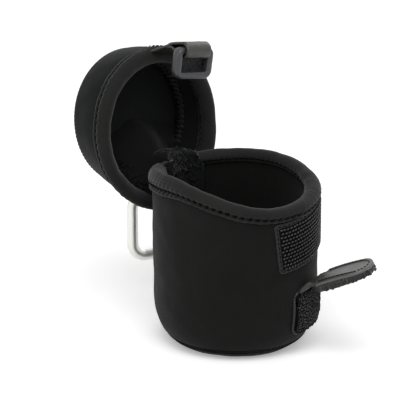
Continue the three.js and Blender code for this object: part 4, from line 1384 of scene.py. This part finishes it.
def strap_frame(scene):
    """Where the strap bends, and its directions outwards and sideways."""
    p, c = scene.pouch_sizes, scene.closure_sizes
    outward = Vector((math.sin(c.turn), -math.cos(c.turn), 0))
    sideways = Vector((math.cos(c.turn), math.sin(c.turn), 0))
    level = c.root_bottom + c.root_height + 2 * p.gap + c.neck_thickness / 2
    axis = pouch_place(scene)(math.pi - c.turn, p.radius + p.gap + c.leather, level)
    return axis, outward, sideways


class Strap(bpy.types.Operator):
    """Adds the strap with its leather face, its pile back and its neck"""

    bl_idname = "pouch.add_strap"
    bl_label = "Strap"

    def execute(self, context):
        scene = context.scene
        p, c, b = scene.pouch_sizes, scene.closure_sizes, scene.binding_sizes
        self.axis, self.outward, self.sideways = strap_frame(scene)
        self.neck_end = self.axis + self.outward * c.neck_length + UP * c.neck_lift
        self.tip = self.neck_end + self.outward * c.strap_reach + UP * c.strap_lift

        def crown(u, v):
            return self.crown(scene, u, v)

        def rough(u, v):
            return 0.0006 * ripple(u * 26, v * 40, 0, 1.0)

        leather = self.layer(scene, (c.leather + p.gap) / 2, c.leather, 0.0, crown)
        # The face's leather is painted lighter than its edge: a painted highlight.
        finished("strap_face", leather, "strap_leather_painted_highlight", ["strap"],
                 ("strap_leather",))
        tape = self.layer(scene, -(c.tape + p.gap) / 2, c.tape, 0.0004, rough)
        self.ruffle(scene, tape)
        finished("strap_pile", tape, "tape_pile", ["strap"], ("strap_tape",))
        self.add_neck(scene)
        self.add_stitches(scene, b)
        self.add_fringe(scene)
        return {"FINISHED"}

    def crown(self, scene, u, v):
        """The leather rolls down at its edges and is pressed in along the stitches."""
        width = self.width_at(scene, v) / 2
        from_side = (0.5 - abs(u - 0.5)) * 2 * width
        along = (1 - v) * (self.tip - self.neck_end).length
        inwards = min(from_side, along)
        rise, rolled, stitch_spread = 0.0003, 0.002, 0.0006
        return rise * eased(inwards / rolled) - rise * hump(inwards, STRAP_INSET, stitch_spread)

    def width_at(self, scene, part):
        """Width of the strap, which ends in a round tip."""
        c = scene.closure_sizes
        from_tip = (1 - part) * (self.tip - self.neck_end).length
        if from_tip >= c.strap_point:
            return c.strap_width
        narrowest = 0.34
        return c.strap_width * max(math.sqrt(max(1 - (1 - from_tip / c.strap_point) ** 2, 0)), narrowest)

    def section(self, scene, part):
        """Middle, side and lift of the strap at a share of its length."""
        c = scene.closure_sizes
        bend = (self.neck_end + self.tip) / 2 + UP * c.strap_bow
        point = (1 - part) ** 2 * self.neck_end + 2 * part * (1 - part) * bend + part ** 2 * self.tip
        along = ((bend - self.neck_end) * (1 - part) + (self.tip - bend) * part).normalized()
        side = Matrix.Rotation(c.strap_roll, 3, along) @ self.sideways
        return point, side, along.cross(side).normalized()

    def layer(self, scene, offset, thickness, wander, relief):
        """One layer of the strap, ragged where it wanders."""
        def point(u, v):
            middle, side, lift = self.section(scene, v)
            ragged = wander * (ripple(v * 90, u * 3, 4, 1.0) + 0.6) * min((1 - v) * 6, 1)
            width = self.width_at(scene, v) + 2 * ragged
            return middle + side * (u - 0.5) * width + lift * (offset + thickness / 2)

        bm = sheet_grid(26, 56, point, relief)
        bmesh.ops.recalc_face_normals(bm, faces=bm.faces)
        lift = self.section(scene, 0.5)[2]
        if sum(face.normal.dot(lift) for face in bm.faces) < 0:
            bmesh.ops.reverse_faces(bm, faces=bm.faces)
        bmesh.ops.solidify(bm, geom=bm.faces[:], thickness=thickness)
        return bm

    def ruffle(self, scene, bm):
        """Lets the back of the pile hang ragged, deepest behind the middle of the strap."""
        c = scene.closure_sizes
        span = self.tip - self.neck_end
        scale, sag = 900, 0.0012
        for vert in bm.verts:
            part = min(max((vert.co - self.neck_end).dot(span) / span.length_squared, 0), 1)
            middle, _, lift = self.section(scene, part)
            if (vert.co - middle).dot(lift) > -c.tape * 0.8:
                continue
            ragged = 0.0006 * ripple(*(vert.co * scale), 1.0) * min((1 - part) * 8, 1)
            vert.co -= lift * (sag * math.sin(math.pi * min(part + 0.15, 1)) + ragged)

    def add_neck(self, scene):
        """Leather that joins the strap to its root."""
        c, p = scene.closure_sizes, scene.pouch_sizes
        start = self.axis - self.outward * (p.gap + 0.0014)
        thickness = 0.0024

        def point(u, v):
            part = min(v * 1.06, 1.12)
            end_middle, end_side, end_lift = self.section(scene, 0.04)
            end = end_middle + end_lift * 0.0001
            low = start - UP * (c.neck_thickness * 0.9) * (1 - eased(part * 2.2))
            middle = low.lerp(end, part) + UP * (0.0004 * math.sin(math.pi * min(part, 1)))
            side = self.sideways.lerp(end_side, part ** 2).normalized()
            width = mix(c.root_width - c.root_round * 0.9, c.strap_width - 0.002, eased(part * 1.6))
            return middle + side * (u - 0.5) * width - UP * 0.0003

        bm = sheet_grid(16, 20, point, lambda u, v: 0.0003 * ripple(u * 5, v * 5, 2, 1.5))
        thickened(bm, thickness)
        bodies = ["pouch", "strap", self.axis, self.neck_end]
        finished("strap_neck_leather", bm, "strap_leather", bodies, ("strap_neck",))

    def add_stitches(self, scene, b):
        """A row of stitches along both sides and round the tip."""
        c, p = scene.closure_sizes, scene.pouch_sizes
        bm = bmesh.new()
        steps, tip_steps, stitch = 15, 7, 0.0017
        for side_sign in (-1, 1):
            for index in range(steps):
                part = mix(0.06, 0.78, index / (steps - 1))
                middle, side, lift = self.section(scene, part)
                ahead = self.section(scene, part + 0.02)[0]
                aside = (self.width_at(scene, part) / 2 - STRAP_INSET) * side_sign
                spot = middle + side * aside + lift * (c.leather + p.gap / 2 + 0.0001)
                add_thread(bm, spot, ahead - middle, lift, stitch, b.thread)
        for index in range(tip_steps):
            turn = mix(-1.2, 1.2, index / (tip_steps - 1))
            middle, side, lift = self.section(scene, mix(0.80, 0.93, math.cos(turn)))
            spot = middle + side * math.sin(turn) * (c.strap_width / 2 - STRAP_INSET) * 0.86
            along = side * math.cos(turn) - self.outward * math.sin(turn)
            add_thread(bm, spot + lift * (c.leather + p.gap / 2), along, lift, stitch, b.thread)
        finished("strap_stitches", bm, "dark_thread_and_hole_shade", ["strap"], merge=False)

    def add_fringe(self, scene):
        """Loose fibres along the edges and back of the pile."""
        c = scene.closure_sizes
        chance = random.Random(5)
        bm = bmesh.new()
        fibres = 700
        for index in range(fibres):
            part = chance.uniform(0.0, 0.98)
            middle, side, lift = self.section(scene, part)
            sign = chance.choice((-1, 1))
            edge = index % 3
            aside = self.width_at(scene, part) / 2 * (1.0 if edge else chance.uniform(0, 1))
            deepest = c.tape + 0.0010 * math.sin(math.pi * min(part + 0.1, 1))
            depth = -deepest * (chance.uniform(0.3, 1.0) if edge else 1.0)
            away = side * sign * (1 if edge else 0.3) - lift * chance.uniform(0.1, 0.9)
            away += Vector([chance.uniform(-0.5, 0.5) for _ in range(3)])
            add_thread(bm, middle + side * sign * aside + lift * depth, away, lift,
                       chance.uniform(0.001, 0.0021), 0.0004, *FIBRE_BALL)
        finished("strap_fibres", bm, "tape_pile", ["strap"], merge=False)


class RingAndTab(bpy.types.Operator):
    """Adds the leather tab on the lid and the moulded ring in its fold"""

    bl_idname = "pouch.add_ring"
    bl_label = "Ring and Tab"

    def execute(self, context):
        scene = context.scene
        p, l, r, b = scene.pouch_sizes, scene.lid_sizes, scene.ring_sizes, scene.binding_sizes
        self.lift = 2 * p.gap + b.thickness
        self.bend = r.depth * r.wrap + p.gap + r.tab_thickness / 2
        lid = lid_place(scene)
        root = lid(math.pi - r.turn, l.radius + self.lift + r.tab_thickness / 2, 0.0)
        opened = Matrix.Rotation(-l.open_angle, 4, "X")
        self.tab = Matrix.Translation(root) @ opened @ Matrix.Rotation(r.turn, 4, "Z") @ Matrix.Rotation(
            r.tab_droop, 4, "X")
        self.ring = self.tab @ Matrix.Translation((0, self.bend, -r.tab_reach)) @ Matrix.Rotation(
            l.open_angle - r.tab_droop, 4, "X")
        self.add_tab(scene, lid)
        self.add_ring(scene)
        self.add_tail(scene)
        return {"FINISHED"}

    def path(self, scene):
        """Middle line of the free part in its own frame: down, round the bar and back."""
        r, p = scene.ring_sizes, scene.pouch_sizes
        points = [Vector((0, 0, -r.tab_bend_gap)), Vector((0, 0, -r.tab_reach / 2))]
        points.append(Vector((0, 0, 2.2 * self.bend - r.tab_reach)))
        steps, wrapped = 14, math.radians(218)
        for step in range(steps + 1):
            turn = wrapped * step / steps
            y, z = self.bend * (1 - math.cos(turn)), self.bend * math.sin(turn)
            points.append(Vector((0, y, -r.tab_reach - z)))
        points.append(Vector((0, r.tab_thickness + p.gap, 2.2 * self.bend - r.tab_reach)))
        points.append(Vector((0, r.tab_thickness + p.gap, r.tab_fold_back - r.tab_reach)))
        return points

    def add_tab(self, scene, lid):
        """Strip that is sewn to the lid and folded round the ring."""
        r, b = scene.ring_sizes, scene.binding_sizes
        seat = self.lift - r.tab_sink - r.tab_thickness / 2
        sewn = [lid(math.pi - r.turn, lid_reach(scene, level) + seat, level)
                for level in (b.lid_drop - 0.001, b.lid_drop * 0.66, b.lid_drop * 0.4, 0.0012)]
        path = self.path(scene)
        path[0].y += r.tab_sink + r.tab_thickness / 2
        path[1].y += r.tab_sink * 0.5
        points = sewn + [self.tab @ point for point in path]
        side = (self.tab.to_3x3() @ ACROSS).normalized()
        count = len(points) - 1

        def point(u, v):
            middle = smooth_path(points, v)
            aside = (u - 0.5) * r.tab_width
            return middle + side * aside + self.hug(scene, v * count, aside)

        bm = sheet_grid(14, 130, point, lambda u, v: 0.00012 * ripple(u * 4, v * 20, 0, 1.5))
        thickened(bm, r.tab_thickness)
        ends = ["lid", "tab", sewn[-1], self.tab @ Vector((0, 0, -0.0035))]
        finished("tab_strip", bm, "tab_leather", ends, ("tab_root", "ring_tab"))
        stitches = bmesh.new()
        back = (self.tab.to_3x3() @ Vector((0, -1, 0))).normalized()
        levels, count, stitch, sink = (0.0024, 0.0046), 6, 0.0019, 0.0004
        for level in levels:
            reach = lid_reach(scene, level) + self.lift + b.outer_fullness - sink
            for index in range(count):
                aside = mix(-0.42, 0.42, index / (count - 1)) * r.tab_width
                spot = lid(math.pi - r.turn, reach, level)
                spot += side * aside + self.hug(scene, 0, aside) + back * 0.0001
                add_thread(stitches, spot, side, back, stitch, b.thread)
        finished("tab_stitches", stitches, "dark_thread_and_hole_shade", ["lid"], merge=False)

    def hug(self, scene, position, aside):
        """The sewn part follows the lid's curve, and the free part straightens."""
        l = scene.lid_sizes
        sag = l.radius - math.sqrt(l.radius ** 2 - aside ** 2)
        held = 1 - eased((position - 3.0) / 1.6)
        return (self.tab.to_3x3() @ Vector((0, 1, 0))) * sag * held

    def add_tail(self, scene):
        """Free end of the tab: soft pile that hangs from the fold, behind the ring."""
        r = scene.ring_sizes
        low = -(r.opening_height + r.bar * 0.7)

        def point(u, v):
            sag = 0.0005 * math.sin(math.pi * u) * v
            aside = mix(-r.opening_width / 2 - 0.0005, r.opening_width / 2 + 0.0034, u)
            spot = Vector((aside, r.depth / 2 + 0.0006 + sag, mix(0.0006, low, v)))
            return self.ring @ spot

        bm = sheet_grid(40, 30, point, lambda u, v: 0.0005 * ripple(u * 24, v * 16, 3, 1.0))
        thickened(bm, 0.0007, self.ring.to_3x3() @ Vector((0, 1, 0)), 1)
        finished("tab_tail", bm, "tape_pile", ["ring"])

    def add_ring(self, scene):
        """Draws a squared section along the four sides of the ring and spins it round each corner."""
        r = scene.ring_sizes
        half_width = (r.opening_width + r.bar) / 2
        height = r.opening_height + r.bar
        sides, squareness, side_steps, corner_steps = 28, 0.6, 4, 8

        def squared(value):
            return math.copysign(abs(value) ** squareness, value)

        bm = bmesh.new()
        section = []
        for step in range(sides):
            turn = TAU * step / sides
            y, z = r.depth / 2 * squared(math.cos(turn)), -r.bar / 2 * squared(math.sin(turn))
            section.append(bm.verts.new((0, y, z)))
        edges = [bm.edges.new(pair) for pair in zip(section, section[1:] + section[:1])]
        rounds = [(half_width - r.corner, -r.corner), (half_width - r.corner, -height + r.corner),
                  (-half_width + r.corner, -height + r.corner), (-half_width + r.corner, -r.corner)]
        runs = [(2 * half_width - 2 * r.corner, ACROSS), (height - 2 * r.corner, -UP),
                (2 * half_width - 2 * r.corner, -ACROSS), (height - 2 * r.corner, UP)]
        bmesh.ops.translate(bm, verts=section, vec=(-half_width + r.corner, 0, 0))
        for (run, direction), (x, z) in zip(runs, rounds):
            for _ in range(side_steps):
                made = bmesh.ops.extrude_edge_only(bm, edges=edges)["geom"]
                verts = [g for g in made if isinstance(g, bmesh.types.BMVert)]
                edges = [g for g in made if isinstance(g, bmesh.types.BMEdge)
                         and all(v in set(verts) for v in g.verts)]
                bmesh.ops.translate(bm, verts=verts, vec=direction * run / side_steps)
            last = bmesh.ops.spin(bm, geom=verts + edges, cent=(x, 0, z), axis=(0, 1, 0), angle=RIGHT_ANGLE,
                                  steps=corner_steps)["geom_last"]
            verts = [g for g in last if isinstance(g, bmesh.types.BMVert)]
            edges = [g for g in last if isinstance(g, bmesh.types.BMEdge)]
        bmesh.ops.remove_doubles(bm, verts=bm.verts, dist=1e-5)
        bmesh.ops.transform(bm, matrix=self.ring, verts=bm.verts)
        finished("strap_ring", bm, "ring_moulding", ["ring"], ("ring",))


class SpringHook(bpy.types.Operator):
    """Adds the webbing loop under the lid and the spring hook in it"""

    bl_idname = "pouch.add_hook"
    bl_label = "Spring Hook"

    def execute(self, context):
        scene = context.scene
        p, l, h = scene.pouch_sizes, scene.lid_sizes, scene.hook_sizes
        round_share = 1 - math.sqrt(0.5)
        level = l.height - l.corner * round_share
        edge = lid_place(scene)(h.hang_turn, lid_reach(scene, level) - l.corner * round_share, level)
        self.hanger = Matrix.Translation(edge + Vector((0, h.seam_proud, -h.seam_proud - 4 * p.gap)))
        self.hanger = self.hanger @ Matrix.Rotation(h.turn, 4, "Z")
        half = (h.width - h.rod) / 2
        sag = half - math.sqrt(half ** 2 - (h.loop_width / 2) ** 2)
        self.hook = self.hanger @ Matrix.Translation((0, 0, -h.loop_drop + sag - half + p.gap / 2))
        self.add_loop(scene)
        self.add_hook(scene, half)
        for node, key in (("hook_gate", "hook_metal"), ("gate_pin", "pin_metal")):
            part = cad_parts[node]
            part.data.materials.clear()
            part.data.materials.append(finish_for(key))
        return {"FINISHED"}

    def add_loop(self, scene):
        """Webbing folded round the hook and sewn to the lid's edge."""
        p, h = scene.pouch_sizes, scene.hook_sizes
        bend = h.rod / 2 + 2 * p.gap + h.loop_thickness / 2
        near = h.loop_thickness / 2 + p.gap / 2
        points = [Vector((0, -near - 0.0006, 0.0016)), Vector((0, -near, 0))]
        steps = 12
        for step in range(steps + 1):
            turn = mix(-math.pi / 6, math.pi * 7 / 6, step / steps)
            points.append(Vector((0, -bend * math.cos(turn), -h.loop_drop - bend * math.sin(turn))))
        points += [Vector((0, near, 0)), Vector((0, near - 0.0004, 0.0016))]

        def point(u, v):
            return self.hanger @ (smooth_path(points, v) + ACROSS * (u - 0.5) * h.loop_width)

        bm = sheet_grid(12, 80, point, lambda u, v: 0.0001 * math.sin(u * 40))
        thickened(bm, h.loop_thickness * 0.85)
        start, stop = Vector((0, 0, 0.0005)), Vector((0, 0, -0.0045))
        ends = ["lid", "hang_loop", self.hanger @ start, self.hanger @ stop]
        finished("hanging_webbing", bm, "narrow_webbing", ends, ("hang_loop",))

    def add_hook(self, scene, half):
        """Round bar bent into the hook, with a tongue for the gate."""
        h = scene.hook_sizes
        foot = -(h.height - h.rod - half)
        right = half - h.foot_round
        pin = h.gate_top - h.nose_gap - h.gate_length
        shoulder = pin - h.gate_heel - 3 * h.nose_gap
        path = [(half, h.gate_top)]
        path += self.arc(0, 0, half, 0, math.pi, 30)
        path += self.arc(-right, foot + h.foot_round, h.foot_round, math.pi, math.pi + RIGHT_ANGLE, 14)
        path += self.arc(right, foot + h.foot_round, h.foot_round, -RIGHT_ANGLE, 0, 14)
        path.append((half, shoulder))
        curve = bpy.data.curves.new("hook_line", "CURVE")
        curve.dimensions = "3D"
        curve.bevel_depth = h.rod / 2
        curve.bevel_resolution = 7
        curve.use_fill_caps = True
        spline = curve.splines.new("POLY")
        spline.points.add(len(path) - 1)
        for knot, (x, z) in zip(spline.points, path):
            knot.co = (x, 0, z, 1)
        carrier = bpy.data.objects.new("hook_line", curve)
        bpy.context.scene.collection.objects.link(carrier)
        bpy.context.view_layer.update()
        mesh = bpy.data.meshes.new_from_object(carrier)
        bpy.data.objects.remove(carrier)
        bm = bmesh.new()
        bm.from_mesh(mesh)
        bmesh.ops.remove_doubles(bm, verts=bm.verts, dist=1e-6)
        rims = [edge for edge in bm.edges if edge.calc_face_angle(0) > 1.2]
        bmesh.ops.bevel(bm, geom=rims, offset=0.0006, segments=3, **BEVEL)
        tongue = Matrix.Translation((half, 0, (pin + shoulder) / 2 + 0.001)) @ Matrix.Diagonal(
            (0.004, 0.0018, pin - shoulder + 0.002, 1))
        bmesh.ops.create_cube(bm, size=1, matrix=tongue)
        bmesh.ops.transform(bm, matrix=self.hook, verts=bm.verts)
        finished("hook_rod", bm, "hook_metal", ["hook"], ("hook_body",), merge=False)

    def arc(self, x, z, radius, start, stop, steps):
        """Points on part of a circle."""
        turns = [mix(start, stop, step / steps) for step in range(steps + 1)]
        return [(x + radius * math.cos(turn), z + radius * math.sin(turn)) for turn in turns]


class PouchStage(bpy.types.Operator):
    """Adds the floor, the even light, the lamps and the camera"""

    bl_idname = "pouch.add_stage"
    bl_label = "Stage"

    def execute(self, context):
        scene = context.scene
        s = scene.stage_settings
        self.add_floor(scene, s)
        self.add_world(scene, s)
        for name, power, size, spot in (
            ("key_lamp", s.key, 0.9, (-0.5, -0.5, 1.25)),
            ("left_lamp", s.side, 0.6, (-1.3, 0.35, 0.55)),
            ("right_lamp", s.side, 0.6, (1.0, 0.2, 0.6)),
        ):
            lamp = bpy.data.lights.new(name, "AREA")
            lamp.energy = power
            lamp.shape = "SQUARE"
            lamp.size = size
            holder = bpy.data.objects.new(name, lamp)
            holder.location = spot
            holder.rotation_mode = "QUATERNION"
            holder.rotation_quaternion = (Vector((0, 0.02, 0.06)) - Vector(spot)).to_track_quat("-Z", "Y")
            scene.collection.objects.link(holder)
        self.add_camera(scene, s)
        scene.view_settings.view_transform = "Standard"
        return {"FINISHED"}

    def add_floor(self, scene, s):
        """White floor that keeps the shadow."""
        bm = bmesh.new()
        bmesh.ops.create_grid(bm, x_segments=1, y_segments=1, size=s.floor_size / 2)
        mesh = bpy.data.meshes.new("floor")
        bm.to_mesh(mesh)
        bm.free()
        finish = Finish("floor_paper")
        grain = finish.noise(6.0, 2.0)
        constant(finish, Specular_IOR_Level=0.0, Emission_Strength=1.0)
        seen = sum(finish.node("ShaderNodeLightPath", output=kind) for kind in SHOWING_RAYS) * s.glow
        mesh.materials.append(finish.set(
            Base_Color=finish.tinted(scene.finish_colours.floor, grain, 0.004), Roughness=grain * 0.1 + 0.85,
            Emission_Color=finish.node("ShaderNodeCombineColor", None, {0: seen, 1: seen, 2: seen})))
        floor = bpy.data.objects.new("floor", mesh)
        scene.collection.objects.link(floor)

    def add_world(self, scene, s):
        """Even light, shown as white to the camera and in the metal."""
        world = bpy.data.worlds.new("even_light")
        scene.world = world
        world.use_nodes = True
        tree = world.node_tree
        lit = tree.nodes["Background"]
        lit.inputs["Color"].default_value = (1, 1, 1, 1)
        lit.inputs["Strength"].default_value = s.world
        shown = tree.nodes.new("ShaderNodeBackground")
        shown.inputs["Color"].default_value = (1, 1, 1, 1)
        shown.inputs["Strength"].default_value = 1.0
        rays = tree.nodes.new("ShaderNodeLightPath")
        blend = tree.nodes.new("ShaderNodeMixShader")
        seen = rays.outputs[SHOWING_RAYS[0]]
        for kind in SHOWING_RAYS[1:]:
            either = tree.nodes.new("ShaderNodeMath")
            either.operation = "MAXIMUM"
            tree.links.new(seen, either.inputs[0])
            tree.links.new(rays.outputs[kind], either.inputs[1])
            seen = either.outputs[0]
        tree.links.new(seen, blend.inputs[0])
        tree.links.new(lit.outputs[0], blend.inputs[1])
        tree.links.new(shown.outputs[0], blend.inputs[2])
        tree.links.new(blend.outputs[0], tree.nodes["World Output"].inputs["Surface"])

    def add_camera(self, scene, s):
        """Camera whose frame is set off to one side of the aim."""
        a, e = s.azimuth, s.elevation
        back = Vector((math.sin(a) * math.cos(e), -math.cos(a) * math.cos(e), math.sin(e)))
        right = Vector((math.cos(a), math.sin(a), 0))
        up = back.cross(right)
        lens = bpy.data.cameras.new("camera")
        lens.lens = s.lens
        lens.sensor_width = s.sensor
        lens.clip_start, lens.clip_end = 0.05, 50
        camera = bpy.data.objects.new("camera", lens)
        camera.location = Vector((0, 0, s.aim_height)) + back * s.distance
        aim = -back * s.lens + (right * s.offset_x + up * s.offset_y) * s.sensor
        camera.rotation_mode = "QUATERNION"
        camera.rotation_quaternion = aim.to_track_quat("-Z", "Y")
        scene.collection.objects.link(camera)
        scene.camera = camera


class PouchPanel(bpy.types.Panel):
    """Lists the pieces of the pouch and their sizes"""

    bl_idname = "VIEW3D_PT_pouch"
    bl_label = "Padded Pouch"
    bl_space_type = "VIEW_3D"
    bl_region_type = "UI"
    bl_category = "Pouch"

    def draw(self, context):
        for group in GROUPS:
            box = self.layout.box()
            box.label(text=group.replace("_", " ").capitalize())
            settings = getattr(context.scene, group)
            for key in settings.__annotations__:
                box.prop(settings, key)
        for operator in OPERATORS:
            self.layout.operator(operator.bl_idname)


GROUPS = {
    "pouch_sizes": PouchSizes,
    "binding_sizes": BindingSizes,
    "lid_sizes": LidSizes,
    "closure_sizes": ClosureSizes,
    "ring_sizes": RingSizes,
    "hook_sizes": HookSizes,
    "finish_colours": FinishColours,
    "stage_settings": StageSettings,
}
OPERATORS = (
    PouchStage,
    PouchBody,
    PouchBinding,
    PouchLid,
    HingeStrip,
    ClosurePatches,
    Strap,
    RingAndTab,
    SpringHook,
)


def register():
    for made in (*GROUPS.values(), *OPERATORS, PouchPanel):
        bpy.utils.register_class(made)
    for name, group in GROUPS.items():
        setattr(bpy.types.Scene, name, PointerProperty(type=group))


def unregister():
    for name in GROUPS:
        delattr(bpy.types.Scene, name)
    for made in (PouchPanel, *reversed(OPERATORS), *reversed(GROUPS.values())):
        bpy.utils.unregister_class(made)


def main():
    """Builds everything."""
    register()
    bpy.ops.pouch.add_stage()
    bpy.ops.pouch.add_body()
    bpy.ops.pouch.add_binding()
    bpy.ops.pouch.add_lid()
    bpy.ops.pouch.add_hinge()
    bpy.ops.pouch.add_patches()
    bpy.ops.pouch.add_strap()
    bpy.ops.pouch.add_ring()
    bpy.ops.pouch.add_hook()
    bpy.context.view_layer.update()


if __name__ == "__main__":
    main()
